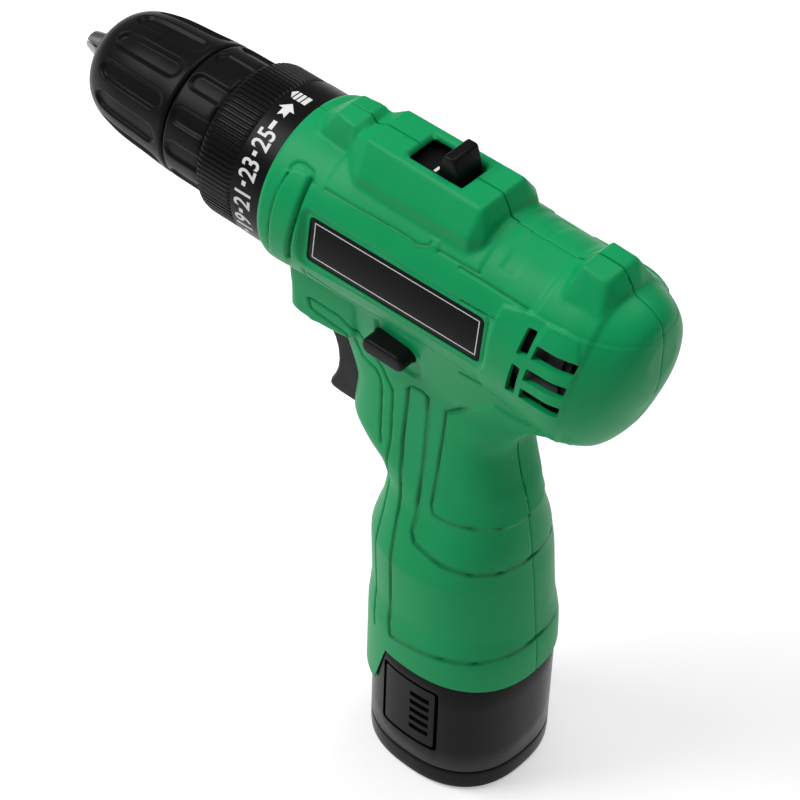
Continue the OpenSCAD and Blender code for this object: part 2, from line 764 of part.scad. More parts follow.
module front_sleeve() {
    back = seam_x - face_gap;
    color(black) at_barrel() difference() {
        turned([[back, sleeve_bore_r], [back, sleeve_r - 0.6], [back - 0.5, sleeve_r],
            [back - 9, sleeve_r - 0.7], [back - 18, sleeve_r - 1.4], [back - 23, sleeve_r - 2.1],
            [back - 27, sleeve_r - 3.3], [back - 30, sleeve_r - 5.2], [nose_x + 1.6, sleeve_r - 7.4],
            [nose_x, sleeve_r - 9.9], [nose_x, nose_bore_r],
            [nose_x + 12, body_r - 0.3], [nut_x0 - 0.1, body_r - 0.3], [nut_x0 - 0.1, sleeve_bore_r]]);
        flutes(back - 26, back - 3, sleeve_r - 0.6, 12, 1.1, 5.4);
    }
}

module rear_sleeve() {
    front = seam_x + face_gap;
    color(black) at_barrel() difference() {
        turned([[front, rear_bore_r], [front, sleeve_r - 0.6], [front + 0.5, sleeve_r],
            [chuck_back - 0.6, sleeve_r + 0.2], [chuck_back, sleeve_r - 0.3], [chuck_back, hub_r + press_gap],
            [chuck_back - 2, hub_r + press_gap], [chuck_back - 2, rear_bore_r]]);
        flutes(front + 1.6, chuck_back - 2, sleeve_r, 12, 0.7, 5);
    }
}

// ---- motor ----

module motor_can() {
    color(steel) at_barrel() difference() {
        along(motor_front, motor_back - 2, motor_r);
        along(motor_front + 1.5, motor_back, motor_r - 1.2);
        along(motor_front - 1, motor_front + 2, shaft_r + run_gap);
        for (side = [-1, 1]) translate([0, side * motor_screw_orbit(), 0])
            along(motor_front - 1, motor_front + 2, motor_screw_r() + seat_gap);
        for (k = [0 : 3]) rotate([90 * k + 45, 0, 0])
            block([motor_back - 14, -4, 10], [motor_back - 8, 4, 30]);
    }
}

module motor_endbell() {
    color(grey) at_barrel() difference() {
        union() {
            along(motor_back - 2, motor_back, motor_r - 0.9);
            tube_along(motor_back - 5, motor_back - 1.9, motor_r - 1.2 - seat_gap, motor_r - 3);
            along(motor_back - 1, motor_back + 1.2, 5);
        }
        along(motor_back - 6, motor_back + 3, shaft_r + run_gap);
    }
}

magnet_x = [motor_front + 8, motor_back - 16];
module motor_magnets() {
    color(grey) at_barrel() for (side = [-1, 1]) intersection() {
        tube_along(magnet_x[0], magnet_x[1], motor_r - 1.2 - seat_gap, armature_r() + 0.6);
        rotate([0, 0, side < 0 ? 180 : 0]) scale([side, 1, 1])
            outline_along(magnet_x[0], magnet_x[1], [[0, 0], [-24, 40], [24, 40]]);
    }
}
function armature_r() = 11.4;

module motor_brushes() {
    color(grey) at_barrel() for (side = [-1, 1])
        block([motor_back - 9.5, side < 0 ? -9.5 : 4.8, -1.6],
            [motor_back - 6.5, side < 0 ? -4.8 : 9.5, 1.6]);
}

module rotor_shaft() {
    color(bright) at_barrel() along(planets_1[0] + 0.2, motor_back + 8.5, shaft_r);
}

module armature() {
    color(copper) at_barrel() difference() {
        union() {
            along(motor_front + 9, motor_back - 17, armature_r());
            along(motor_front + 5, motor_back - 12.5, 8.8);
            along(motor_back - 12.6, motor_back - 5.6, 4.7);
        }
        along(motor_front, motor_back, shaft_r + press_gap);
        for (k = [0 : 4]) rotate([72 * k, 0, 0])
            block([motor_front + 8, -1, 9.2], [motor_back - 16, 1, 14]);
    }
}

fan_x = [motor_back + 1.6, motor_back + 6];
fan_r = 12;
module cooling_fan() {
    color(grey) at_barrel() difference() {
        union() {
            along(fan_x[0], fan_x[1], 3.6);
            along(fan_x[0], fan_x[0] + 1, fan_r);
            for (k = [0 : 7]) rotate([45 * k, 0, 0])
                block([fan_x[0], -0.6, 2], [fan_x[1], 0.6, fan_r - 0.3]);
        }
        along(fan_x[0] - 1, fan_x[1] + 1, shaft_r + press_gap);
    }
}

module pinion() {
    color(brass) at_barrel() difference() {
        outline_along(planets_1[0], case_back + 0.6, spur(sun_z));
        along(planets_1[0] - 1, case_back + 2, shaft_r + press_gap);
    }
}

// ---- switch, trigger and direction button ----

plunger_z = -43;
module switch_body() {
    color(black) at_barrel() difference() {
        block([switch_x[0], -switch_w / 2, switch_foot], [switch_x[1], switch_w / 2, switch_top]);
        translate([0, 0, plunger_z])
            along(switch_x[0] - 1, switch_x[0] + trigger_travel + 4, plunger_r + run_gap);
    }
}

module trigger() {
    back = trigger_back;
    color(black) at_barrel() {
        difference() {
            across([[9.4, trigger_top], [back, trigger_top], [back, trigger_foot], [14, trigger_foot],
                [10.6, trigger_foot + 0.6], [10.2, trigger_foot + 2], [11.6, trigger_foot + 4.6],
                [12.8, trigger_foot + 8], [13, trigger_foot + 12], [12, trigger_foot + 16.5],
                [9.8, trigger_top - 3.4]], trigger_w);
            block([back - 6, -trigger_w / 2 + 2, trigger_foot + 2],
                [back + 1, trigger_w / 2 - 2, trigger_top - 2]);
        }
        translate([0, 0, plunger_z]) along(back - 7, switch_x[0] + 2.5, plunger_r);
    }
}

module trigger_spring() {
    color(steel) at_barrel() translate([0, 0, plunger_z])
        tube_along(trigger_back - 5.8, switch_x[0] - 0.1, plunger_r + 1.4, plunger_r + 0.5);
}

module direction_button() {
    mid = (button_x[0] + button_x[1]) / 2;
    half = (button_x[1] - button_x[0]) / 2 - button_h / 2;
    color(black) at_barrel() {
        for (ends = [[-neck_half_w - direction_travel - 1, -2], [2, neck_half_w + 0.6]]) {
            for (x = [mid - half, mid + half])
                crosswise(x, button_z, ends[0], ends[1], button_h / 2);
            block([mid - half, ends[0], button_z - button_h / 2],
                [mid + half, ends[1], button_z + button_h / 2]);
        }
        block([mid - half, -3, button_z - 0.8], [mid + half, 3, button_z + 1.6]);
    }
}

module terminal_block() {
    color(black) translate([stick_x, 0, socket_z]) difference() {
        block([-socket_l / 2, -socket_w / 2, 0], [socket_l / 2, socket_w / 2, 5]);
        for (y = [-6, 0, 6])
            block([-5, y - 0.8, -1], [5, y + 0.8, 4]);
    }
}

// ---- speed selector ----

module speed_selector() {
    color(black) at_barrel() {
        block([selector_x[0], -selector_half_w, plate_z[0]], [selector_x[1], selector_half_w, plate_z[1]]);
        across([[knob_x[0], plate_z[1] - 0.5], [knob_x[1], plate_z[1] - 0.5], [knob_x[1] - 0.4, saddle_h + 2],
            [knob_x[1] - 1.6, knob_top], [knob_x[0] + 1.4, knob_top], [knob_x[0], saddle_h + 2.5]],
            2 * window_half_w - 0.8);
    }
}

module shift_wire() {
    color(bright) at_barrel() {
        for (side = [-1, 1]) translate([0, side * wire_y, 0]) {
            translate([wire_x, 0, foot_z()]) cylinder(h = wire_z - foot_z(), r = wire_r);
            translate([0, 0, wire_z]) along(wire_x, wire_back, wire_r);
            for (x = [wire_x, wire_back]) translate([x, 0, wire_z]) sphere(r = wire_r);
            translate([wire_back, 0, wire_z])
                cylinder(h = plate_z[0] - seat_gap - wire_r - wire_z, r = wire_r);
        }
        crosswise(wire_back, plate_z[0] - seat_gap - wire_r, -wire_y, wire_y, wire_r);
    }
}
function foot_z() = sqrt(pow(ring_out_r - 0.9, 2) - pow(wire_y - wire_r, 2));

// ---- battery ----

cell_spots = [for (k = [0 : 2]) polar(cell_orbit, 120 * k + 180)];

module battery_case() {
    color(black) difference() {
        union() {
            translate([0, 0, base_h]) linear_extrude(foot_h - base_h)
                polygon(oval(foot_l / 2, foot_w / 2, foot_n));
            translate([stick_x, 0, base_h]) linear_extrude(stick_top - base_h)
                polygon(oval(stick_a, stick_b, stick_n));
        }
        translate([stick_x, 0, base_h - 1]) linear_extrude(stick_top - base_h - 0.6)
            polygon(oval(stick_a - stick_t, stick_b - stick_t, stick_n));
        for (side = [-1, 1]) scale([1, side, 1])
            block([latch_x[0] - 0.4, latch_y - latch_t - latch_travel - 0.2, latch_z[0] - 0.4],
                [latch_x[1] + 0.4, 40, latch_z[1] + 0.4]);
        for (y = [-6, 0, 6])
            block([stick_x - 4.2, y - 0.6, stick_top - 3], [stick_x + 4.2, y + 0.6, stick_top + 1]);
    }
}

module battery_base() {
    color(black) difference() {
        linear_extrude(base_h - seat_gap) polygon(oval(foot_l / 2, foot_w / 2, foot_n));
        translate([stick_x, 0, base_floor]) linear_extrude(base_h)
            polygon(oval(stick_a - stick_t, stick_b - stick_t, stick_n));
        battery_screw_places() {
            translate([0, 0, -1]) cylinder(h = 3, r = 2.3);
            cylinder(h = 20, r = 1.3);
        }
    }
}

module battery_screw_places() {
    for (x = [-16, 16]) for (y = [-13.4, 13.4]) translate([x, y, 0]) children();
}

module battery_screws() {
    color(steel) battery_screw_places() {
        translate([0, 0, 0.5]) cylinder(h = 1.4, r = 2.1);
        translate([0, 0, 1.8]) cylinder(h = 3.4, r = 1.2);
    }
}

module battery_cells() {
    color([0.2, 0.45, 0.6]) for (p = cell_spots)
        translate([cell_x + p[0], p[1], cell_z]) cylinder(h = cell_len, r = cell_r);
}

module battery_board() {
    color(green) translate([stick_x, 0, cell_z + cell_len + 0.3])
        linear_extrude(1.4) polygon(oval(stick_a - 4, stick_b - 4, stick_n));
}

module battery_terminals() {
    color(brass) for (y = [-6, 0, 6])
        block([stick_x - 4, y - 0.4, cell_z + cell_len + 1.8], [stick_x + 4, y + 0.4, stick_top + 6]);
}

module latch(side) {
    color(black) scale([1, side, 1])
        block([latch_x[0], latch_y - latch_t, latch_z[0]], [latch_x[1], latch_y, latch_z[1]]);
}

module latch_left() { latch(-1); }
module latch_right() { latch(1); }

module latch_springs() {
    color(steel) for (side = [-1, 1]) scale([1, side, 1])
        block([-3, latch_y - latch_t - latch_travel - 0.1, 24], [3, latch_y - latch_t - 0.1, 28]);
}

housing_left();
housing_right();
housing_screws();
badges();
gear_case();
gearbox_cover();
motor_screws();
spindle_bearing();
clutch_ring_gear();
clutch_balls();
pressure_plate();
clutch_springs();
clutch_nut();
torque_ring();
motor_can();
motor_endbell();
motor_magnets();
motor_brushes();
rotor_shaft();
armature();
cooling_fan();
pinion();
switch_body();
trigger();
trigger_spring();
direction_button();
terminal_block();
speed_selector();
shift_wire();
shift_ring();
planet_1a();
planet_1b();
planet_1c();
planet_2a();
planet_2b();
planet_2c();
planet_3a();
planet_3b();
planet_3c();
carrier_1();
carrier_2();
carrier_3();
spindle();
chuck_body();
chuck_screw();
jaw_1();
jaw_2();
jaw_3();
jaw_nut();
front_sleeve();
rear_sleeve();
battery_case();
battery_base();
battery_cells();
battery_board();
battery_terminals();
latch_left();
latch_right();
latch_springs();
battery_screws();
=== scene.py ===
import json
import math

import bmesh
import bpy
import numpy as np
from mathutils import Matrix, Vector


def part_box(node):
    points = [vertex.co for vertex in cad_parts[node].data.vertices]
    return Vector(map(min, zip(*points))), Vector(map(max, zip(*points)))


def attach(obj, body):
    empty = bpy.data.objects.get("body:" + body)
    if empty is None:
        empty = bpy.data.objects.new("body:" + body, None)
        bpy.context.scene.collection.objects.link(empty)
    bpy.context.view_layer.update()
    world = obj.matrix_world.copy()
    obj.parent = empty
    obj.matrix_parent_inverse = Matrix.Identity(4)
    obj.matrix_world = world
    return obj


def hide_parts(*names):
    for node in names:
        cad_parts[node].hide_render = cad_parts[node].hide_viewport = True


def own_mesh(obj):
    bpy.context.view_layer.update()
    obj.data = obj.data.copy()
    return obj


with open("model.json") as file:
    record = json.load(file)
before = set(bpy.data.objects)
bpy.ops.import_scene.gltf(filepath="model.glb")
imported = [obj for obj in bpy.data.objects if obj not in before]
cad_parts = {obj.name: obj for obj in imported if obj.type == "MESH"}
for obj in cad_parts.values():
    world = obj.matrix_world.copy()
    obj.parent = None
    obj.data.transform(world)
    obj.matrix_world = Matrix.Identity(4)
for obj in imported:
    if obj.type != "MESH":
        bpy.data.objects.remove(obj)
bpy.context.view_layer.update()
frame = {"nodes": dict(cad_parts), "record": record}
nodes = frame["nodes"]
print("frame loaded:", len(nodes), "nodes")

# Shapes are laid out in millimetres: back along the barrel from its front edge, across, and up from
# the barrel's axis. They are brought into the frame in one step when a piece is finished.
ringLow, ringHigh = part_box("torque_ring")
footLow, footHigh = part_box("battery_base")
ringRadius = (ringHigh.y - ringLow.y) * 500
axisHeight = (ringLow.z + ringHigh.z) * 500
ringBack = 0.3
toFrame = Matrix.Translation((ringHigh.x - ringBack / 1000, 0, axisHeight / 1000)) @ Matrix.Scale(0.001, 4)
footMiddle = ((footLow.x + footHigh.x) * 500 - toFrame[0][3] * 1000)
footLength = (footHigh.x - footLow.x) * 1000
footWidth = (footHigh.y - footLow.y) * 1000


# ---- shape helpers ----

def newPiece(name, bm):
    mesh = bpy.data.meshes.new(name)
    bm.to_mesh(mesh)
    bm.free()
    obj = bpy.data.objects.new(name, mesh)
    bpy.context.collection.objects.link(obj)
    return obj


def readPoints(bm):
    return np.array([v.co[:] for v in bm.verts])


def placePoints(bm, points):
    for vert, point in zip(bm.verts, points):
        vert.co = point


def closeShape(bm, gap=1e-3):
    bmesh.ops.remove_doubles(bm, verts=bm.verts, dist=gap)
    bmesh.ops.dissolve_degenerate(bm, edges=bm.edges, dist=gap / 2)
    openEdges = [e for e in bm.edges if e.is_boundary]
    if openEdges:
        bmesh.ops.holes_fill(bm, edges=openEdges)
    bmesh.ops.recalc_face_normals(bm, faces=bm.faces)
    return bm


# A skin of around by along cells: place turns shares round and along (0 to 1) into points.
def skin(around, along, place):
    bm = bmesh.new()
    bmesh.ops.create_grid(bm, x_segments=around, y_segments=along, size=0.5)
    flat = readPoints(bm) + 0.5
    placePoints(bm, place(flat[:, 0] % 1, flat[:, 1]))
    return closeShape(bm)


def hull(points):
    bm = bmesh.new()
    for point in points:
        bm.verts.new(point)
    bmesh.ops.convex_hull(bm, input=bm.verts)
    bmesh.ops.recalc_face_normals(bm, faces=bm.faces)
    return bm


def bothSides(points):
    return points + [(x, -y, z) for x, y, z in points]


def block(low, high, soften=0, segments=2):
    bm = bmesh.new()
    bmesh.ops.create_cube(bm, size=1)
    size = [b - a for a, b in zip(low, high)]
    middle = [(a + b) / 2 for a, b in zip(low, high)]
    bmesh.ops.scale(bm, vec=size, verts=bm.verts)
    bmesh.ops.translate(bm, vec=middle, verts=bm.verts)
    if soften:
        bmesh.ops.bevel(bm, geom=bm.edges[:], offset=soften, affect="EDGES", segments=segments,
                        profile=0.5, material=-1)
    return bm


# A cylinder from one point to another.
def rod(start, end, radius, count=40, endRadius=None):
    start, end = Vector(start), Vector(end)
    bm = bmesh.new()
    bmesh.ops.create_cone(bm, cap_ends=True, segments=count, radius1=radius,
                          radius2=radius if endRadius is None else endRadius, depth=(end - start).length)
    turn = (end - start).to_track_quat("Z", "Y").to_matrix().to_4x4()
    bmesh.ops.transform(bm, matrix=Matrix.Translation((start + end) / 2) @ turn, verts=bm.verts)
    return bm


# A flat outline of (back, up) points drawn across from y0 to y1, its corners rounded by soften.
def across(outline, y0, y1, soften=0, segments=3):
    bm = bmesh.new()
    face = bm.faces.new([bm.verts.new((x, y0, z)) for x, z in outline])
    made = bmesh.ops.extrude_face_region(bm, geom=[face])["geom"]
    bmesh.ops.translate(bm, vec=(0, y1 - y0, 0), verts=[g for g in made if isinstance(g, bmesh.types.BMVert)])
    bmesh.ops.recalc_face_normals(bm, faces=bm.faces)
    if soften:
        long = [e for e in bm.edges if abs(e.verts[0].co.y - e.verts[1].co.y) > 1e-6]
        bmesh.ops.bevel(bm, geom=long, offset=soften, affect="EDGES", segments=segments, profile=0.5,
                        material=-1)
    return bm


def bakeModifiers(obj):
    graph = bpy.context.evaluated_depsgraph_get()
    mesh = bpy.data.meshes.new_from_object(obj.evaluated_get(graph))
    old = obj.data
    obj.modifiers.clear()
    obj.data = mesh
    bpy.data.meshes.remove(old)


def combine(obj, shapes, how):
    for shape in shapes:
        tool = newPiece("tool", shape)
        step = obj.modifiers.new("tool", "BOOLEAN")
        step.operation = how
        step.solver = "MANIFOLD"
        step.object = tool
        bakeModifiers(obj)
        bpy.data.objects.remove(tool)
    return obj


def join(shapes, name):
    return combine(newPiece(name, shapes[0]), shapes[1:], "UNION")


def meshPoints(mesh, what="vertices"):
    values = np.empty(len(mesh.vertices) * 3)
    if what == "normals":
        mesh.vertex_normals.foreach_get("vector", values)
    else:
        mesh.vertices.foreach_get("co", values)
    return values.reshape(-1, 3)


# Brings a piece into the frame, marks its sharp edges and ties it to its body.
def finishPiece(obj, material, body, stands=(), sharpAngle=35):
    mesh = obj.data
    bm = bmesh.new()
    bm.from_mesh(mesh)
    bmesh.ops.remove_doubles(bm, verts=bm.verts, dist=1e-4)
    bmesh.ops.triangulate(bm, faces=[f for f in bm.faces if len(f.verts) > 4])
    for face in bm.faces:
        face.smooth = True
    limit = math.radians(sharpAngle)
    for edge in bm.edges:
        edge.smooth = not (edge.is_manifold and edge.calc_face_angle(0) > limit)
    bmesh.ops.transform(bm, matrix=toFrame, verts=bm.verts)
    bm.to_mesh(mesh)
    bm.free()
    mesh.materials.clear()
    mesh.materials.append(material)
    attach(obj, body)
    if stands:
        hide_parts(*stands)
    return obj


# A cubic through the given values that doesn't overshoot them.
def curveThrough(at, places, values):
    places, values = np.array(places, float), np.array(values, float)
    step = np.diff(places)
    slope = np.diff(values) / step
    same = slope[:-1] * slope[1:] > 0
    middle = np.where(same, 2 * slope[:-1] * slope[1:] / np.where(same, slope[:-1] + slope[1:], 1), 0)
    tangent = np.concatenate([[slope[0]], middle, [slope[-1]]])
    k = np.clip(np.searchsorted(places, at) - 1, 0, len(step) - 1)
    t = np.clip((at - places[k]) / step[k], 0, 1)
    return ((1 + 2 * t) * (1 - t) ** 2 * values[k] + t * (1 - t) ** 2 * step[k] * tangent[k]
            + t * t * (3 - 2 * t) * values[k + 1] + t * t * (t - 1) * step[k] * tangent[k + 1])


def softStep(t):
    t = np.clip(t, 0, 1)
    return t * t * (3 - 2 * t)


def lineDistance(points, line):
    best = np.full(len(points), 1e9)
    for a, b in zip(np.array(line[:-1], float), np.array(line[1:], float)):
        share = np.clip((points - a) @ (b - a) / max((b - a) @ (b - a), 1e-9), 0, 1)
        best = np.minimum(best, np.linalg.norm(points - a - share[:, None] * (b - a), axis=1))
    return best


# Distance to a closed outline, negative inside it.
def outlineDistance(points, outline):
    ring = list(outline) + [outline[0]]
    inside = np.zeros(len(points), bool)
    for (ax, az), (bx, bz) in zip(ring[:-1], ring[1:]):
        cross = (az > points[:, 1]) != (bz > points[:, 1])
        edge = (bx - ax) * (points[:, 1] - az) / ((bz - az) or 1e-9) + ax
        inside ^= cross & (points[:, 0] < edge)
    return np.where(inside, -1, 1) * lineDistance(points, ring)


# ---- finishes ----

# Wraps a shader socket so that maths on it can be written as an expression.
class Signal:
    def __init__(self, finish, socket):
        self.finish = finish
        self.socket = socket

    def maths(self, operation, *others, **settings):
        values = {k: v for k, v in enumerate((self,) + others)}
        return self.finish.add("ShaderNodeMath", dict(operation=operation, **settings), values)

    def __add__(self, other): return self.maths("ADD", other)
    def __sub__(self, other): return self.maths("SUBTRACT", other)
    def __mul__(self, other): return self.maths("MULTIPLY", other)
    def __truediv__(self, other): return self.maths("DIVIDE", other)
    def __pow__(self, other): return self.maths("POWER", other)
    __radd__ = __add__
    __rmul__ = __mul__
    def __rsub__(self, other): return (self * -1) + other
    def ramp(self, low, high): return ((self - low) * (1 / (high - low))).maths("ADD", 0, use_clamp=True)


class Finish:
    def __init__(self, name, **surface):
        self.material = bpy.data.materials.new(name)
        self.material.use_nodes = True
        self.tree = self.material.node_tree
        self.shader = self.tree.nodes["Principled BSDF"]
        for socket, value in surface.items():
            self.shader.inputs[socket.replace("_", " ")].default_value = value

    # Adds any node: its settings first, then the values or links of its sockets.
    def add(self, kind, settings=None, sockets=None, output=0):
        node = self.tree.nodes.new(kind)
        for key, value in (settings or {}).items():
            if key == "stops":
                while len(node.color_ramp.elements) < len(value):
                    node.color_ramp.elements.new(0.5)
                for stop, (place, colour) in zip(node.color_ramp.elements, value):
                    stop.position = place
                    stop.color = colour
            else:
                setattr(node, key, value)
        for key, value in (sockets or {}).items():
            if isinstance(value, Signal):
                self.tree.links.new(value.socket, node.inputs[key])
            else:
                node.inputs[key].default_value = value
        return Signal(self, node.outputs[output])

    def place(self):
        return self.add("ShaderNodeTexCoord", output=3)

    def noise(self, scale, detail=2.0, where=None, stretch=None):
        where = where or self.place()
        if stretch:
            where = self.add("ShaderNodeMapping", None, {"Vector": where, "Scale": stretch})
        return self.add("ShaderNodeTexNoise", None, {"Vector": where, "Scale": scale, "Detail": detail})

    def colours(self, share, first, second):
        return self.add("ShaderNodeMix", dict(data_type="RGBA"), {0: share, 6: first, 7: second}, output=2)

    def bump(self, height, strength, distance=0.0002):
        return self.add("ShaderNodeBump", None, {"Height": height, "Strength": strength,
                                                 "Distance": distance})

    def feed(self, **links):
        for socket, value in links.items():
            self.tree.links.new(value.socket, self.shader.inputs[socket.replace("_", " ")])
        return self.material


def mouldedPlastic(name, light, dark, gloss, grain, coat=0.0, panel=None, shine=0.1):
    f = Finish(name, IOR=1.45, Coat_Roughness=0.2, Coat_Weight=coat, Specular_IOR_Level=shine)
    fine = f.noise(2600, 3)
    cloud = f.noise(55, 3)
    height = fine * 0.6 + f.noise(900, 2) * 0.4
    rough = gloss + (cloud - 0.5) * 0.10 + (fine - 0.5) * 0.06
    if panel:
        mask = f.add("ShaderNodeAttribute", dict(attribute_name=panel), None, output=2)
        leather = f.add("ShaderNodeTexVoronoi", None, {"Vector": f.place(), "Scale": 1500.0})
        height = height * (1 - mask) + (leather * 1.6 + fine * 0.5) * mask
        rough = rough + mask * 0.08
    colour = f.colours(cloud.ramp(0.3, 0.7), dark, light)
    if panel:
        # painted shade: the shell's colour is darkened in its pressed lines, where shade falls
        crease = f.add("ShaderNodeAttribute", dict(attribute_name="crease"), None, output=2)
        colour = f.colours(crease * 0.5, colour, [part * 0.3 for part in dark[:3]] + [1])
    return f.feed(Base_Color=colour, Roughness=rough, Normal=f.bump(height, grain, 0.00006))


def machinedMetal(name, light, dark, gloss, stretch=(1, 1, 1), lines=0.15, metallic=1.0, wear=0.12):
    f = Finish(name, Metallic=metallic)
    turned = f.noise(900, 3, stretch=stretch)
    patch = f.noise(70, 4)
    rough = gloss + (turned - 0.5) * wear + (patch - 0.5) * 0.12
    return f.feed(Base_Color=f.colours(patch.ramp(0.3, 0.7), dark, light), Roughness=rough,
                  Normal=f.bump(turned, lines, 0.00004))


def woundWire(name):
    f = Finish(name, Metallic=0.6)
    strands = f.add("ShaderNodeTexWave", dict(bands_direction="X"),
                    {"Vector": f.place(), "Scale": 420.0, "Distortion": 3.0, "Detail": 2.0})
    return f.feed(Base_Color=f.colours(strands, (0.10, 0.025, 0.008, 1), (0.56, 0.23, 0.08, 1)),
                  Roughness=0.28 + strands * 0.15, Normal=f.bump(strands, 0.6))


finishes = dict(
    shell=mouldedPlastic("greenShell", (0.006, 0.355, 0.118, 1), (0.004, 0.325, 0.104, 1), 0.42, 0.30,
                         panel="grain", shine=0.16),
    trim=mouldedPlastic("sleevePlastic", (0.0075, 0.0075, 0.0082, 1), (0.0055, 0.0055, 0.006, 1), 0.33, 0.22),
    black=mouldedPlastic("blackPlastic", (0.0105, 0.0105, 0.011, 1), (0.008, 0.008, 0.0085, 1), 0.36, 0.30),
    battery=mouldedPlastic("packPlastic", (0.0068, 0.0068, 0.0075, 1), (0.005, 0.005, 0.0056, 1), 0.27, 0.22),
    badge=mouldedPlastic("badgeGloss", (0.0048, 0.0048, 0.0052, 1), (0.004, 0.004, 0.0044, 1), 0.16, 0.04,
                         shine=0.08),
    white=mouldedPlastic("printedWhite", (0.82, 0.82, 0.82, 1), (0.74, 0.74, 0.74, 1), 0.45, 0.10),
    inner=mouldedPlastic("innerPlastic", (0.035, 0.035, 0.038, 1), (0.026, 0.026, 0.028, 1), 0.45, 0.35),
    gear=machinedMetal("gearSteel", (0.46, 0.46, 0.47, 1), (0.36, 0.36, 0.375, 1), 0.34, (1, 6, 6)),
    carrier=machinedMetal("carrierMetal", (0.40, 0.40, 0.41, 1), (0.30, 0.30, 0.31, 1), 0.40),
    # near-black: painted shade seen through the air slots, also given to every case_metal part
    can=machinedMetal("motorCanShade", (0.028, 0.028, 0.030, 1), (0.018, 0.018, 0.020, 1), 0.45, (6, 1, 1),
                      metallic=0.3),
    chuck=machinedMetal("chuckSteel", (0.33, 0.33, 0.34, 1), (0.24, 0.24, 0.25, 1), 0.30, (8, 1, 1)),
    jaw=machinedMetal("jawSteel", (0.40, 0.40, 0.41, 1), (0.29, 0.29, 0.30, 1), 0.32, (1, 8, 8), 0.25),
    screw=machinedMetal("screwSteel", (0.20, 0.20, 0.205, 1), (0.13, 0.13, 0.135, 1), 0.34),
    magnet=machinedMetal("magnetGrey", (0.060, 0.060, 0.064, 1), (0.040, 0.040, 0.044, 1), 0.5, metallic=0.3),
    brush=machinedMetal("brushCarbon", (0.030, 0.030, 0.031, 1), (0.018, 0.018, 0.019, 1), 0.55,
                        metallic=0.2),
    brass=machinedMetal("nutBrass", (0.62, 0.42, 0.16, 1), (0.50, 0.33, 0.12, 1), 0.30, (6, 1, 1)),
    cell=mouldedPlastic("cellWrap", (0.045, 0.17, 0.32, 1), (0.036, 0.14, 0.28, 1), 0.30, 0.08, coat=0.3),
    board=mouldedPlastic("boardGreen", (0.016, 0.11, 0.05, 1), (0.010, 0.075, 0.034, 1), 0.35, 0.25),
    winding=woundWire("copperWinding"),
)
slotFinish = dict(shell="shell", trim="trim", black_parts="black", inner_plastic="inner", gear_steel="gear",
                  carrier_metal="carrier", case_metal="can", chuck_metal="chuck", jaw_steel="jaw",
                  screw_steel="screw", magnet="magnet", brush_carbon="brush", winding="winding",
                  brass="brass", cell="cell", board="board")
nodeSlot = {part["node"]: part["material_slot"] for part in frame["record"]["subparts"]}
# The motor's can, which shows through the air slots, gets the near-black can finish: painted shade standing
# in for the shade inside the housing.
nodeFinish = dict(motor_can="can")
for nodeName, obj in nodes.items():
    obj.data.materials.clear()
    obj.data.materials.append(finishes[nodeFinish.get(nodeName, slotFinish[nodeSlot[nodeName]])].copy())
print("finishes made")


# ---- housing ----

housing = dict(
    front=-1.4, wall=2.0, cell=0.6, fineReach=0.95, fineSeam=0.45,
    mouthRadius=21.6,
    # back, half width, top, bottom
    barrel=[(-4, 23, 23, -23), (11, 22.4, 22.8, -22.7), (26, 21.4, 23.8, -23.4), (46, 20.7, 23.8, -23.4),
            (72, 20.5, 23.4, -24.4), (88.5, 20.4, 23.2, -27.8), (94, 18.9, 23.1, -25.8),
            (99.9, 15.3, 22.0, -18.4), (103.7, 11.6, 20.0, -9.0), (105.5, 8.3, 17.8, -3.6),
            (106.4, 5.5, 13.4, 1.6)],
    # up, front, back, half width, squareness
    grip=[(-148, 26.6, 78.0, 22.9, 2.3), (-126, 26.6, 78.0, 22.9, 2.3), (-118, 26.6, 77.7, 22.8, 2.3),
          (-113, 26.9, 77, 22.2, 2.3), (-108, 26.8, 76.5, 21.8, 2.2), (-100, 26.4, 75.7, 21.8, 2.2),
          (-92, 26.2, 74.9, 21.8, 2.2), (-87, 27.4, 74.1, 20.6, 2.3), (-80, 29.4, 73.3, 18.6, 2.4),
          (-74, 29.7, 72.3, 16.6, 2.4), (-68, 26.2, 71.1, 15.6, 2.4), (-63, 20.6, 69.7, 14.8, 2.8),
          (-58, 17.9, 68, 14.1, 3.2), (-48, 18.9, 66.1, 13.3, 3.4), (-40, 15.4, 69.9, 12.9, 3.2),
          (-33, 8.9, 77.1, 13.1, 2.4), (-28, 4.4, 89, 13.8, 2.2), (-21, 2.9, 94, 15, 2.1),
          (-12, 2.9, 98.5, 17.2, 2)],
    seamGap=0.12, seamGroove=0.22, lipBottom=-142.5, lipBack=44.0, lipSlant=0.3,
)
foot = -axisHeight
collar = foot + 42


def barrelSkin(inset, start, around, along):
    back, halfWidth, top, low = np.array(housing["barrel"]).T
    def place(u, v):
        reach = start + (back[-1] - inset - start) * (1 - (1 - v) ** 1.7)
        w = curveThrough(reach, back, halfWidth) - inset
        t = curveThrough(reach, back, top) - inset
        b = curveThrough(reach, back, low) + inset
        turn = u * 2 * math.pi
        return np.stack([reach, w * np.sin(turn), (t + b) / 2 + (t - b) / 2 * np.cos(turn)], axis=1)
    return skin(around, along, place)


def ovalPoint(turn, a, b, square):
    c, s = np.cos(turn), np.sin(turn)
    return a * np.sign(c) * np.abs(c) ** (2 / square), b * np.sign(s) * np.abs(s) ** (2 / square)


def gripSkin(inset, low, around, along):
    up, front, back, halfWidth, square = np.array(housing["grip"]).T
    def place(u, v):
        z = low + (up[-1] - low) * v
        f = curveThrough(z, up, front) + inset
        b = curveThrough(z, up, back) - inset
        x, y = ovalPoint(u * 2 * math.pi, (b - f) / 2, curveThrough(z, up, halfWidth) - inset,
                         curveThrough(z, up, square))
        return np.stack([(f + b) / 2 + x, y, z], axis=1)
    return skin(around, along, place)


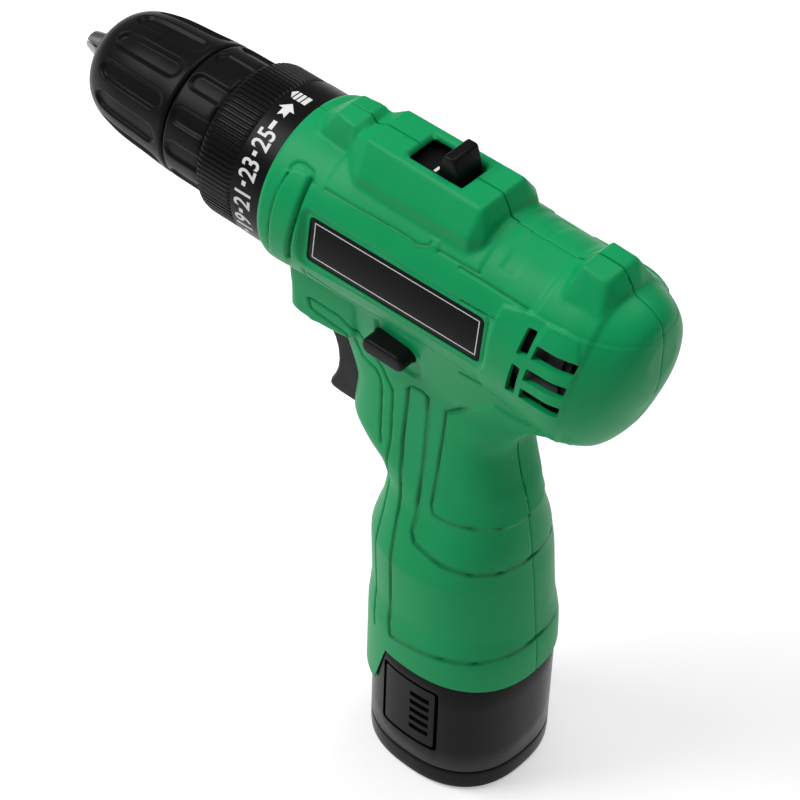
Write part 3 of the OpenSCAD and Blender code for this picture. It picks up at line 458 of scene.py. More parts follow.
blocks = dict(
    saddle=[(13.9, 6.4, 18), (14.3, 6.4, 22.6), (17.6, 10.8, 16), (22.0, 12.7, 14), (57.6, 12.7, 14),
            (60.2, 10.4, 16),
            (18.2, 10.2, 20.9), (22.4, 12.4, 22.1), (56.6, 12.4, 23.0), (59.6, 10.0, 22.6),
            (15.9, 5.4, 26.9), (21.0, 7.2, 29.5), (56.9, 7.6, 29.4), (59.0, 7.0, 25.6)],
    frontRib=[(1.2, 1.4, 22.6), (3.2, 6.8, 20.0), (14.6, 8.0, 18.0), (8.9, 4.9, 29.3), (9.2, 0.1, 30.1),
              (14.2, 5.6, 29.1),
              (15.4, 0.1, 30.1), (20.5, 8.0, 18), (18.6, 5.2, 26.5)],
    rearRib=[(81.4, 3.0, 22.6), (82.6, 11.2, 18.4), (95.2, 11.0, 17.6), (97.6, 1.5, 21.4), (85.8, 5.4, 27.6),
             (92.6, 5.4, 27.4), (86.0, 0.1, 28.2), (92.9, 0.1, 28.1)],
    chin=[(1.8, 13.2, -32.2), (1.6, 14.2, -14), (22, 12.6, -31.4), (22, 13.4, -14), (3.6, 13.6, -33),
          (9, 13.2, -33.8),
          (20, 12.4, -33.4), (4, 14.4, -14), (6, 13.6, -30)],
)


def shrink(points, by):
    middle = np.mean(points, axis=0)
    middle[1] = 0
    moved = []
    for point in points:
        step = Vector(point) - Vector(middle)
        step.length = max(step.length - by * 1.5, 0)
        moved.append(tuple(Vector(middle) + step))
    return moved


def outerSolid():
    shapes = [barrelSkin(0, -4, 120, 110), gripSkin(0, -148, 120, 154)]
    shapes += [hull(bothSides(points)) for points in blocks.values()]
    obj = join(shapes, "shellSolid")
    remesh = obj.modifiers.new("even", "REMESH")
    remesh.mode = "VOXEL"
    remesh.voxel_size = housing["cell"]
    soften = obj.modifiers.new("soften", "SMOOTH")
    soften.factor = 0.5
    soften.iterations = 3
    bakeModifiers(obj)
    return obj


# Lines pressed into the shell: points (back, out, up) on the left half, then depth and width.
grooves = [
    # bean on the front of the barrel, deep on its rear edge
    ([(10.3, 16.2, 15.9), (10.4, 18.8, 12.3), (10.3, 21.2, 7.3), (9.6, 22.3, 1.6), (8.3, 21.6, -6.3)], 1.09,
     0.45),
    ([(4.0, 16.6, 15.0), (4.0, 15.4, 16.5), (4.9, 14.5, 17.4), (6.8, 14.0, 17.7), (9.9, 14.3, 17.3),
      (11.2, 15.6, 15.8)], 0.32, 0.41),
    ([(3.9, 17.2, 15.0), (3.2, 20, 11), (3.0, 22.3, 4.5), (2.8, 22.8, -0.5), (1.8, 21.4, -7.8)], 0.55, 0.33),
    # the two marks below the badge
    ([(12.2, 20.2, -9), (11.1, 18.0, -13), (9.1, 14.6, -18.1)], 0.58, 0.37),
    ([(13.5, 20.0, -9.8), (22.6, 17.8, -12.7), (36, 17.0, -13.3)], 0.51, 0.33),
    # chin
    ([(7.8, 13, -26.5), (8.5, 12.6, -29.1), (10.4, 12.4, -29.8), (19.6, 12.2, -31.4), (24.6, 12.6, -36.4),
      (29.8, 12.4, -37.2)], 0.58, 0.34),
    ([(7.8, 13, -26.3), (9.5, 13, -25.8), (17.8, 13.4, -26.5), (24.5, 13.4, -30.1)], 0.51, 0.34),
    # grip, the two outlines that run round its back, and the lines that follow the trigger
    ([(40.9, 12.9, -36.9), (40.5, 13.7, -54.4), (41.8, 15.6, -74.1), (44, 21, -91.1), (44.6, 21.6, -113.8),
      (45.7, 22.3, -118.4), (54, 22.2, -117.0), (62.2, 21.3, -115.9), (70.4, 16.8, -115.1), (75.4, 9, -114),
      (76.9, 2.3, -113.6), (77, 0, -113.5)], 0.65, 0.34),
    ([(47.4, 12.9, -35.2), (47.8, 14.0, -54), (48, 15.8, -69.5), (48.4, 18.5, -79.2), (50, 18.9, -81.6),
      (58.7, 18.9, -83.6), (66.3, 15.9, -84.2), (71.5, 10.2, -84.1), (73.7, 1, -84.2), (73.8, 0, -84.2)],
      0.65, 0.34),
    ([(29.8, 12.4, -37.2), (31.3, 12.3, -38.9), (32, 12.2, -41.6), (32.8, 12.9, -56.7), (33.4, 13.2, -60)],
     0.55, 0.33),
    ([(24.5, 13.4, -30.1), (32, 13, -35), (35.8, 12.6, -40.6)], 0.55, 0.33),
    ([(40.9, 12.9, -36.9), (41.4, 12.9, -35.4), (43, 12.9, -34.5), (45.6, 12.9, -34.2), (47.4, 12.9, -35.2)],
     0.6, 0.33),
    # round the gripping panel
    ([(68.7, 11.6, -23), (53.4, 12.6, -36.4), (52.6, 13.3, -52), (52.4, 15.5, -68.4), (53.4, 15.7, -70.6),
      (55.4, 15.6, -70.9), (63.5, 13.5, -70.4), (69.2, 8.6, -70.1), (71.5, 0, -70.2)], 0.6, 0.33),
    ([(35.8, 12.6, -40.6), (36.5, 13.6, -57.3), (35.3, 14, -71.6), (36.2, 17.6, -84), (36.6, 19.2, -98),
      (37.4, 19.1, -113.4), (38.4, 19.6, -121)], 0.51, 0.33),
    # flank of the rear half
    ([(57.1, 13.9, 16.1), (66, 13.8, 16.0), (77.5, 14.8, 15.6)], 0.43, 0.29),
    ([(60.5, 18.6, 9.9), (71, 18.4, 10.3)], 0.43, 0.29),
    ([(59.3, 15.4, -16.6), (65, 15.2, -16.6), (71.6, 14.9, -18.9), (76, 13.4, -21.4)], 0.51, 0.33),
    # step beside the saddle
    ([(50.4, 15.0, 16.9), (62.4, 14.9, 16.9)], 0.36, 0.29),
    ([(15.0, 15.4, 16.0), (40.0, 15.2, 16.2), (44.6, 15.2, 15.9), (47.2, 14.8, 16.7), (47.4, 14.2, 17.5)],
     0.43, 0.25),
]
# Raised or sunk areas: outline of (back, up), height, how soft the step is.
raised = [
    ([(3.3, 15.4), (3.0, 11), (2.9, 4.5), (2.7, -0.5), (1.6, -7.8), (3.2, -11.5), (6.6, -11.4), (8.3, -6.3),
      (9.6, 1.6),
      (10.3, 7.3), (10.4, 12.3), (10.3, 15.9), (8.9, 16.6), (6.0, 16.6)], 0.45, 0.7),
    ([(14.7, 15.8), (40.2, 15.8), (44.4, 15.4), (47.0, 16.2), (47.2, 18.6), (50.0, 18.4), (50, 16.9),
      (62, 16.9),
      (62, 30), (14.7, 30)], 0.30, 0.5),
    ([(47.1, 16.6), (49.8, 16.6), (49.8, 18.4), (47.1, 18.4)], 0.5, 0.6),
    # rear section, proud of the middle of the barrel
    ([(71.7, 14), (71, 10.3), (69.5, -2.5), (68.2, -6.8), (66.9, -16.9), (71.6, -19.2), (76, -21.7),
      (84, -30),
      (112, -30), (112, 15.4), (77.6, 15.4)], 0.55, 0.8),
    ([(79.6, 15.4), (112, 15.4), (112, 30), (80.6, 30)], 0.55, 1.9),
    ([(66.3, 19.4), (70.7, 19.4), (70.7, 30), (66.3, 30)], -0.22, 0.5),
    # the rounded back, let in a little behind its edge
    ([(96.4, 30), (95.2, 10), (92, -12), (86, -30), (112, -30), (112, 30)], -0.6, 1.6),
    # tab over the air slots
    ([(83.2, 10.4), (84.2, 15.1), (89.6, 15.7), (92.9, 15.0), (94.9, 10.4)], 0.45, 0.7),
    # seat of the direction button
    ([(30.6, -18.4), (32.6, -17.4), (43, -17.4), (45.6, -19.4), (45.4, -29), (43.4, -30.6), (33, -30.6),
      (30.8, -28.8)],
     -0.7, 1.2),
    # handle's gripping panel
    ([(53.4, -36.4), (52.6, -52), (52.4, -68.4), (53.4, -70.6), (55.4, -71), (63.5, -70.6), (80, -70.2),
      (90, -24),
      (75.2, -25), (68.7, -23)], 0.45, 0.7),
]
badge = dict(low=(13.8, -4.2), length=54.4, height=13.1, thick=0.8, lean=math.radians(7),
             yaw=math.radians(0.9),
             faceOut=20.85, corner=1.5, border=1.4, line=0.26)


def badgeFrame(side):
    place = Matrix.Translation((badge["low"][0], badge["faceOut"], badge["low"][1]))
    place = place @ Matrix.Rotation(-badge["yaw"], 4, "Z") @ Matrix.Rotation(badge["lean"], 4, "X")
    return Matrix.Scale(side, 4, (0, 1, 0)) @ place


# Adds finer cells along the pressed lines, so that their edges stay crisp.
def refineLines(obj):
    mesh = obj.data
    points = meshPoints(mesh)
    points[:, 1] = np.abs(points[:, 1])
    near = np.abs(points[:, 1]) < housing["fineSeam"]
    for line, _, _ in grooves:
        line = np.array(line)
        flat = isFlankLine(line)
        low, high = line.min(axis=0) - 2, line.max(axis=0) + 2
        span = np.all((points > low) & (points < high) | [False, flat, False], axis=1) & (points[:, 1] > 0)
        far = (lineDistance(points[span][:, [0, 2]], line[:, [0, 2]]) if flat
               else lineDistance(points[span], line))
        near[np.flatnonzero(span)[far < housing["fineReach"]]] = True
    bm = bmesh.new()
    bm.from_mesh(mesh)
    bm.verts.ensure_lookup_table()
    edges = [e for e in bm.edges if near[e.verts[0].index] and near[e.verts[1].index]]
    bmesh.ops.subdivide_edges(bm, edges=edges, cuts=1, use_grid_fill=True, smooth=0)
    bm.to_mesh(mesh)
    bm.free()


# Lines on the barrel's flank are laid on from the side; the others follow their own three coordinates.
def isFlankLine(line):
    return line[:, 1].min() > 11


def pressFeatures(obj):
    refineLines(obj)
    mesh = obj.data
    points = meshPoints(mesh)
    normals = meshPoints(mesh, "normals")
    mirrored = points * (1, -1, 1)
    mirrored[:, 1] = np.abs(mirrored[:, 1])
    side = mirrored[:, [0, 2]]
    onFlank = np.abs(normals[:, 1])
    move = np.zeros(len(points))
    # the flank is flat where the badge is let in
    turned = badgeFrame(1).inverted()
    local = mirrored @ np.array(turned.to_3x3()).T + np.array(turned.translation)
    plate = [(0, 0), (badge["length"], 0), (badge["length"], badge["height"]), (0, badge["height"])]
    beside = outlineDistance(local[:, [0, 2]], plate)
    pull = softStep(1 - beside / 3.2) * (np.abs(local[:, 1]) < 4)
    flat = (0.28 - local[:, 1]) * pull
    points += flat[:, None] * np.array(badgeFrame(1).to_3x3())[:, 1] * np.stack([np.ones(len(points)),
              np.sign(points[:, 1]), np.ones(len(points))], axis=1)
    for outline, height, soft in raised:
        area = np.where(mirrored[:, 1] > 0, softStep(0.5 - outlineDistance(side, outline) / soft), 0)
        if outline[0][1] < -30:
            area = area * softStep((side[:, 0] - 40) / 8)
        move += height * area
    for line, depth, width in grooves:
        line = np.array(line)
        span = (side[:, 0] > line[:, 0].min() - 3) & (side[:, 0] < line[:, 0].max() + 3)
        span &= (side[:, 1] > line[:, 2].min() - 3) & (side[:, 1] < line[:, 2].max() + 3)
        flat = isFlankLine(line)
        near = mirrored[span]
        far = lineDistance(near[:, [0, 2]], line[:, [0, 2]]) if flat else lineDistance(near, line)
        move[span] -= depth * np.exp(-(far / width) ** 2) * (onFlank[span] > 0.15 if flat else 1)
    # soft groove round the badge
    move -= np.where(np.abs(local[:, 1]) < 4, 0.5 * np.exp(-((beside - 1.25) / 0.45) ** 2), 0)
    # seam groove, and the front edge rolled in
    move -= 0.24 * np.exp(-(points[:, 1] / housing["seamGroove"]) ** 2)
    move -= 0.5 * np.exp(-((points[:, 0] - housing["front"]) / 0.5) ** 2) * (points[:, 2] > -24)
    points += normals * move[:, None]
    mesh.vertices.foreach_set("co", points.ravel())
    mesh.update()


# How deep in a pressed line each point lies, from 0 to 1; the shell's colour is darkened by it, painted shade
# in the grooves.
def creaseShare(points):
    mirrored = np.stack([points[:, 0], np.abs(points[:, 1]), points[:, 2]], axis=1)
    share = np.zeros(len(points))
    for line, depth, width in grooves:
        line = np.array(line)
        flat = isFlankLine(line)
        low, high = line.min(axis=0) - 2, line.max(axis=0) + 2
        span = np.all((mirrored > low) & (mirrored < high) | [False, flat, False], axis=1)
        near = mirrored[span]
        far = lineDistance(near[:, [0, 2]], line[:, [0, 2]]) if flat else lineDistance(near, line) - depth
        share[span] = np.maximum(share[span], min(1, depth / 0.6)
                                 * np.exp(-(np.maximum(far, 0) / width) ** 2))
    return share


def innerSpace():
    t = housing["wall"]
    shapes = [barrelSkin(t, -5, 64, 60), gripSkin(t, collar + 0.001, 64, 70)]
    shapes += [hull(bothSides(shrink(points, t))) for points in blocks.values()]
    core = join(shapes, "core")
    ribs = []
    for x, bore in ((5, 18.3), (32, 18.3), (48, 17.7), (83, 17.7)):
        web = newPiece("web", block((x, -26, -26), (x + 2, 26, 21.5)))
        combine(web, [rod((x - 1, 0, 0), (x + 3, 0, 0), bore)], "DIFFERENCE")
        ribs.append(web)
    for x in (33.5, 54):
        for y in (-16, 8.6):
            ribs.append(newPiece("web", block((x, y, -51), (x + 1.6, y + 7.4, -26.5))))
    shelf = newPiece("shelf", block((24, -20, foot + 80.4), (80, 20, foot + 82.2)))
    combine(shelf, [block((37.9, -10.1, foot + 79), (64.1, 10.1, foot + 84))], "DIFFERENCE")
    for rib in ribs + [shelf]:
        cut = core.modifiers.new("rib", "BOOLEAN")
        cut.operation = "DIFFERENCE"
        cut.solver = "MANIFOLD"
        cut.object = rib
        bakeModifiers(core)
        bpy.data.objects.remove(rib)
    return core


# The screws go in from the right: back, up, seat of the head, end of the screw.
screwSpots = [(12.6, 25.2, 2.6, -4.4), (91.4, 22.6, 2.6, -4.4), (6.8, -27, 7, -7), (66.5, -35, 7, -7),
              (35, -72.5, 7, -7)]
trigger = dict(halfWidth=8.2, gap=0.3, back=23, travel=6, top=-35, low=-59.5)
button = dict(x=(30, 43.4), up=-23.8, height=4.8, left=-18.8, right=13.4)
window = dict(x=(31.4, 48.4), halfWidth=5.0, corner=1.4)
# Air slots: outline of (back, up) on each flank
airSlots = [
    [(83.8, 10.6), (95.0, 10.5), (94.3, 6.7), (83.1, 6.6)],
    [(82.7, 3.9), (93.8, 3.8), (93.1, 0.1), (82.0, 0.0)],
    [(81.7, -2.7), (92.8, -2.9), (92.0, -6.5), (81.0, -6.4)],
    [(80.0, 13.2), (82.7, 13.3), (81.9, 6.2), (79.0, 6.0)],
    [(78.6, 3.2), (81.0, 2.8), (79.6, -6.4), (76.7, -6.8)],
]


def cutOpenings(obj):
    t = trigger
    cutters = [
        block((-8, -t["halfWidth"] - t["gap"], t["low"] - 0.6), (t["back"] + t["travel"] + t["gap"],
              t["halfWidth"] + t["gap"], t["top"] + 0.4), 0.6),
        # way in for the pack, and the collar's edge with its front lip
        across([(housing["lipBack"], collar), (100, collar), (100, -150),
                (housing["lipBack"] - housing["lipSlant"] * (collar + 150), -150)], -40, 40),
        block((0, -40, -150), (100, 40, housing["lipBottom"])),
        # front mouth round the torque ring
        block((-20, -40, -40), (housing["front"], 40, 40)),
        rod((-10, 0, 0), (0.8, 0, 0), housing["mouthRadius"], 120),
    ]
    up = button["up"]
    half = button["height"] / 2 + 0.3
    cutters.append(across([(button["x"][0] - 0.3, up - half), (button["x"][1] + 0.3, up - half),
                           (button["x"][1] + 0.3, up + half), (button["x"][0] - 0.3, up + half)], -30, 30,
                           half - 0.05, 8))
    w = window
    hole = block((w["x"][0], -w["halfWidth"], 22), (w["x"][1], w["halfWidth"], 40))
    upright = [e for e in hole.edges if abs(e.verts[0].co.z - e.verts[1].co.z) > 5]
    bmesh.ops.bevel(hole, geom=upright, offset=w["corner"], affect="EDGES", segments=4, profile=0.5,
                    material=-1)
    cutters.append(hole)
    # bevelled rim of the window
    cutters.append(hull(bothSides([(w["x"][0] + 0.3, w["halfWidth"] - 0.3, 28.6),
                                   (w["x"][1] - 0.3, w["halfWidth"] - 0.3, 28.6),
                                   (w["x"][0] - 1.3, w["halfWidth"] + 1.2, 30.2),
                                   (w["x"][1] + 1.3, w["halfWidth"] + 1.2, 30.2)])))
    cutters.append(block((21.9, -6.1, 24.1), (55.8, 6.1, 26.5)))
    for side in (-1, 1):
        thin = newPiece("thin", barrelSkin(1.0, 60, 90, 60))
        combine(thin, [block((76.2, side * 19 - 12, -8.6), (96.2, side * 19 + 12, 14.2))], "INTERSECT")
        pocket = bmesh.new()
        pocket.from_mesh(thin.data)
        bpy.data.objects.remove(thin)
        cutters.append(pocket)
        for outline in airSlots:
            cutters.append(across(outline, side * 10, side * 30, 0.4))
        plate = block((-0.15, -0.15 - badge["thick"], -0.15),
                      (badge["length"] + 0.15, 20, badge["height"] + 0.15))
        corners = [e for e in plate.edges if abs(e.verts[0].co.y - e.verts[1].co.y) > 5]
        bmesh.ops.bevel(plate, geom=corners, offset=badge["corner"], affect="EDGES", segments=4, profile=0.5,
                        material=-1)
        bmesh.ops.transform(plate, matrix=badgeFrame(side), verts=plate.verts)
        bmesh.ops.recalc_face_normals(plate, faces=plate.faces)
        cutters.append(plate)
    for x, z, seat, tip in screwSpots:
        cutters.append(rod((x, seat, z), (x, 40, z), 2.9, 28))
        cutters.append(rod((x, tip, z), (x, seat + 1, z), 1.5, 16))
    combine(obj, cutters, "DIFFERENCE")
    packWay = skin(80, 1, lambda u, v: np.stack([*np.array(ovalPoint(u * 2 * math.pi, footLength / 2 + 0.3,
                   footWidth / 2 + 0.3, 2.4)) + np.array([[footMiddle], [0]]), -150 + (150 + collar) * v],
                   axis=1))
    stickWay = skin(80, 1, lambda u, v: np.stack([*np.array(ovalPoint(u * 2 * math.pi, 21.3, 19.8, 2.3))
                    + np.array([[footMiddle - 2], [0]]), collar - 1 + 5 * v], axis=1))
    combine(obj, [packWay, stickWay], "DIFFERENCE")


def buildHousing():
    solid = outerSolid()
    print("shell solid:", len(solid.data.vertices), "points")
    pressFeatures(solid)
    core = innerSpace()
    cut = solid.modifiers.new("hollow", "BOOLEAN")
    cut.operation = "DIFFERENCE"
    cut.solver = "MANIFOLD"
    cut.object = core
    bakeModifiers(solid)
    bpy.data.objects.remove(core)
    cutOpenings(solid)
    for side, name in ((-1, "left"), (1, "right")):
        half = solid.copy()
        half.data = solid.data.copy()
        bpy.context.collection.objects.link(half)
        half.name = half.data.name = "shell_" + name
        away = housing["seamGap"] / 2
        near, far = (-60, -away) if side < 0 else (away, 60)
        combine(half, [block((-40, near, -200), (160, far, 60))], "INTERSECT")
        points = meshPoints(half.data)
        grain = half.data.attributes.new("grain", "FLOAT", "POINT")
        panel = [(52.8, -36.4), (52.4, -69), (54, -70.4), (63.5, -70.2), (90, -69.8), (90, -24), (75.2, -25),
                 (68.7, -23.6)]
        values = softStep(0.5 - outlineDistance(points[:, [0, 2]], panel) / 1.0)
        facet = [(82.6, 23.4), (84.2, 19.3), (87.6, 22.4), (88.3, 27.6)]
        values = np.maximum(values, softStep(0.5 - outlineDistance(points[:, [0, 2]], facet) / 0.8)
                            * (np.abs(points[:, 1]) > 0.3))
        grain.data.foreach_set("value", values.astype(np.float32))
        # painted shade in the pressed lines, read by the shell's finish
        crease = half.data.attributes.new("crease", "FLOAT", "POINT")
        crease.data.foreach_set("value", creaseShare(points).astype(np.float32))
        finishPiece(half, finishes["shell"], "housing", ["housing_" + name], 50)
        print(half.name, len(half.data.polygons), "faces")
    bpy.data.objects.remove(solid)


buildHousing()
print("housing done")


# ---- turned pieces ----

# A closed (back, radius) outline turned about the barrel's axis; relief lowers the outer skin.
def turnedSkin(outline, outerCount, around, along, relief):
    outline = np.array(outline + [outline[0]], float)
    length = np.concatenate([[0], np.cumsum(np.linalg.norm(np.diff(outline, axis=0), axis=1))])
    outerShare = length[outerCount - 1] / length[-1]
    innerRows = max(len(outline) - outerCount, 2) * 3
    share = innerRows / along
    def place(u, v):
        outer = v < 1 - share
        reach = np.where(outer, v / (1 - share) * outerShare,
                         outerShare + (v - 1 + share) / share * (1 - outerShare)) * length[-1]
        back = np.interp(reach, length, outline[:, 0])
        radius = np.interp(reach, length, outline[:, 1])
        turn = u * 2 * math.pi
        radius = radius - np.where(reach <= length[outerCount - 1] + 1e-6, relief(back, turn, radius), 0)
        return np.stack([back, -radius * np.sin(turn), radius * np.cos(turn)], axis=1)
    return skin(around, along, place)


def roundedProfile(points, count):
    points = np.array(points, float)
    length = np.concatenate([[0], np.cumsum(np.linalg.norm(np.diff(points, axis=0), axis=1))])
    at = np.linspace(0, length[-1], count)
    return list(zip(curveThrough(at, length, points[:, 0]), curveThrough(at, length, points[:, 1])))


sleeve = dict(
    radius=18.6, flutes=12, turn=math.radians(-3.5), fluteWidth=3.3,
    front=[(-38.35, 17.6), (-38.5, 18.2), (-39.0, 18.55), (-40.5, 18.5), (-47.5, 17.95), (-56.5, 17.3),
           (-61.5, 16.5),
           (-65.5, 15.3), (-68.5, 13.6), (-70.6, 11.4), (-71.9, 9.4), (-72.2, 8.6)],
    rear=[(-25.4, 17.9), (-25.6, 18.3), (-26.4, 18.6), (-28.2, 18.7), (-37.2, 18.6), (-37.7, 18.35),
          (-37.9, 17.8)],
)


def fluteShape(back, turn, start, end, count, width, depth, phase):
    pitch = 2 * math.pi / count
    off = ((turn - phase + pitch / 2) % pitch - pitch / 2) * sleeve["radius"]
    beyond = np.maximum(np.maximum(start + width - back, back - (end - width)), 0)
    far = np.hypot(off, beyond) / width
    return depth * softStep((1 - far) / 0.42)


def buildSleeves():
    s = sleeve
    outer = roundedProfile(s["front"], 60)
    bore = [(-72.2, 8.1), (-60.2, 12.9), (-54.6, 12.9), (-54.6, 14.9), (-38.35, 14.9)]
    def frontRelief(back, turn, radius):
        fade = softStep((back + 71) / 10)
        return (fluteShape(back, turn, -64.5, -40.6, s["flutes"], s["fluteWidth"], 1.15, s["turn"])
                * (0.35 + 0.65 * fade))
    front = newPiece("chuck_front_sleeve", turnedSkin(outer + bore, len(outer), 432, 96, frontRelief))
    finishPiece(front, finishes["trim"], "chuck_sleeve", ["front_sleeve"], 40)
    outer = roundedProfile(s["rear"], 40)
    bore = [(-37.9, 16.8), (-29.0, 16.8), (-29.0, 9.65), (-27.0, 9.65), (-27.0, 14), (-25.4, 16.2)]
    def rearRelief(back, turn, radius):
        return fluteShape(back, turn, -37.2, -22, s["flutes"], 2.9, 0.8, s["turn"])
    rear = newPiece("chuck_rear_sleeve", turnedSkin(outer + bore, len(outer), 432, 64, rearRelief))
    finishPiece(rear, finishes["trim"], "output", ["rear_sleeve"], 40)


ring = dict(front=-25.0, ridges=90, ridgeDepth=0.55, bore=18.5)


def buildRing():
    r = ringRadius
    outer = [(ring["front"], r - 3.0), (ring["front"] + 0.25, r - 2.2), (ring["front"] + 0.9, r - 1.1),
             (ring["front"] + 1.9, r - 0.35), (ring["front"] + 3.2, r - 0.1), (-13, r - 0.1),
             (-12.5, r - 0.1),
             (-12.35, r - 0.45), (-12.05, r - 0.45), (-11.9, r - 0.05), (-11.6, r), (-6, r), (-0.4, r),
             (0.05, r - 0.15),
             (ringBack, r - 0.45)]
    bore = [(ringBack, 18.25), (-3.0, 18.25), (-3.0, ring["bore"]), (-23.4, ring["bore"]), (-23.4, 13.05),
            (-25, 13.05)]
    def relief(back, turn, radius):
        pitch = 2 * math.pi / ring["ridges"]
        wave = np.abs(((turn / pitch) % 1) - 0.5) * 2
        depth = ring["ridgeDepth"] * softStep((wave - 0.35) / 0.5)
        return depth * softStep((back - ring["front"] - 0.1) / 1.2) * (back < -12.4)
    body = newPiece("torque_dial", turnedSkin(outer + bore, len(outer), 810, 62, relief))
    keys = [block((-25 + 1.5, -1.45, 16.65), (-14, 1.45, 18.9)) for _ in range(4)]
    for turn, key in enumerate(keys):
        bmesh.ops.rotate(key, cent=(0, 0, 0), matrix=Matrix.Rotation(turn * math.pi / 2, 3, "X"),
                         verts=key.verts)
    combine(body, keys, "UNION")
    finishPiece(body, finishes["trim"], "torque_ring", ["torque_ring"], 38)


dial = dict(step=math.radians(11.1), firstNumber=math.radians(38.2), baseline=-5.1, size=6.6, thick=0.12,
            lift=0.02,
            numbers=range(25, 0, -2), square=1.25, centre=-7.9)


# Bends flat artwork (reading right, tops up) round the dial at an angle from the top.
def wrapOnDial(bm, angle, baseline):
    for vert in bm.verts:
        x, y, z = vert.co
        radius = ringRadius + dial["lift"] + z
        turn = angle - x / ringRadius
        vert.co = (baseline - y, -radius * math.sin(turn), radius * math.cos(turn))


def flatShape(outline, thick):
    bm = bmesh.new()
    face = bm.faces.new([bm.verts.new((x, y, -thick / 2)) for x, y in outline])
    made = bmesh.ops.extrude_face_region(bm, geom=[face])["geom"]
    bmesh.ops.translate(bm, vec=(0, 0, thick), verts=[g for g in made if isinstance(g, bmesh.types.BMVert)])
    bmesh.ops.recalc_face_normals(bm, faces=bm.faces)
    return bm


def writtenNumber(text):
    curve = bpy.data.curves.new("number", "FONT")
    curve.body = text
    curve.align_x = "CENTER"
    curve.size = dial["size"]
    curve.space_character = 1.02
    curve.offset = 0.10
    curve.extrude = dial["thick"] / 2
    curve.resolution_u = 3
    obj = bpy.data.objects.new("number", curve)
    bpy.context.collection.objects.link(obj)
    graph = bpy.context.evaluated_depsgraph_get()
    mesh = bpy.data.meshes.new_from_object(obj.evaluated_get(graph))
    bm = bmesh.new()
    bm.from_mesh(mesh)
    bpy.data.objects.remove(obj)
    bpy.data.curves.remove(curve)
    bpy.data.meshes.remove(mesh)
    bmesh.ops.remove_doubles(bm, verts=bm.verts, dist=1e-4)
    bmesh.ops.scale(bm, vec=(0.86, 1.12, 1), verts=bm.verts)
    return bm


def mergeShapes(shapes):
    whole = bmesh.new()
    for shape in shapes:
        mesh = bpy.data.meshes.new("part")
        shape.to_mesh(mesh)
        shape.free()
        whole.from_mesh(mesh)
        bpy.data.meshes.remove(mesh)
    return whole


def buildMarks():
    shapes = []
    d = dial
    half = d["square"] / 2
    for k, number in enumerate(d["numbers"]):
        angle = d["firstNumber"] + 2 * k * d["step"]
        text = writtenNumber(str(number))
        wrapOnDial(text, angle, d["baseline"])
        shapes.append(text)
        if number > 1:
            square = flatShape([(-half, -half), (half, -half), (half, half), (-half, half)], d["thick"])
            wrapOnDial(square, angle + d["step"], d["centre"])
            shapes.append(square)
    dash = flatShape([(-1.25, -0.62), (1.25, -0.62), (1.25, 0.62), (-1.25, 0.62)], d["thick"])
    wrapOnDial(dash, d["firstNumber"] - d["step"], d["centre"])
    arrow = flatShape([(2.4, 0), (0.1, 2.5), (0.1, 1.15), (-2.2, 1.15), (-1.3, 0), (-2.2, -1.15),
                       (0.1, -1.15),
                       (0.1, -2.5)], d["thick"])
    wrapOnDial(arrow, math.radians(13.2), d["centre"])
    shapes += [dash, arrow]
    # drill bit sign: a point and the turns of a flute
    for outline in ([(-1.5, 1.9), (0.2, 3.2), (1.5, 2.3), (1.5, 1.9)],
                    [(-1.5, 0.6), (-1.5, 1.5), (1.5, 1.5), (1.5, 0.6)],
                    [(-1.5, -0.8), (-1.5, 0.2), (1.5, 0.2), (1.5, -0.8)],
                    [(-1.5, -2.6), (-1.5, -1.2), (1.5, -1.2), (1.5, -2.6)]):
        part = flatShape(outline, d["thick"])
        wrapOnDial(part, math.radians(-1.2), d["centre"])
        shapes.append(part)
    marks = newPiece("dial_marks", mergeShapes(shapes))
    finishPiece(marks, finishes["white"], "torque_ring")


buildSleeves()
buildRing()
buildMarks()
print("chuck and dial done")


# ---- badges ----

def buildBadges():
    b = badge
    shapes, lines = [], []
    for side in (-1, 1):
        plate = block((0, -b["thick"], 0), (b["length"], 0, b["height"]))
        corners = [e for e in plate.edges if abs(e.verts[0].co.y - e.verts[1].co.y) > b["thick"] / 2]
        bmesh.ops.bevel(plate, geom=corners, offset=b["corner"], affect="EDGES", segments=5, profile=0.5,
                        material=-1)
        rim = [e for e in plate.edges if all(v.co.y > -0.01 for v in e.verts)
               and any(f.normal.y < 0.5 for f in e.link_faces)]
        bmesh.ops.bevel(plate, geom=rim, offset=0.18, affect="EDGES", segments=2, profile=0.5, material=-1)
        x0, z0 = b["border"], b["border"]
        x1, z1 = b["length"] - b["border"], b["height"] - b["border"]
        t = b["line"]
        for low, high in (((x0, z0), (x1, z0 + t)), ((x0, z1 - t), (x1, z1)),
                          ((x0, z0 + t), (x0 + t, z1 - t)),
                          ((x1 - t, z0 + t), (x1, z1 - t))):
            lines.append(block((low[0], -0.03, low[1]), (high[0], 0.02, high[1])))
        for shape in [plate] + lines[-4:]:
            bmesh.ops.transform(shape, matrix=badgeFrame(side), verts=shape.verts)
            bmesh.ops.recalc_face_normals(shape, faces=shape.faces)
        shapes.append(plate)
    plates = newPiece("badge_plates", mergeShapes(shapes))
    finishPiece(plates, finishes["badge"], "housing", ["badges"])
    border = newPiece("badge_border", mergeShapes(lines))
    finishPiece(border, finishes["white"], "housing")


# ---- trigger, direction button and selector ----

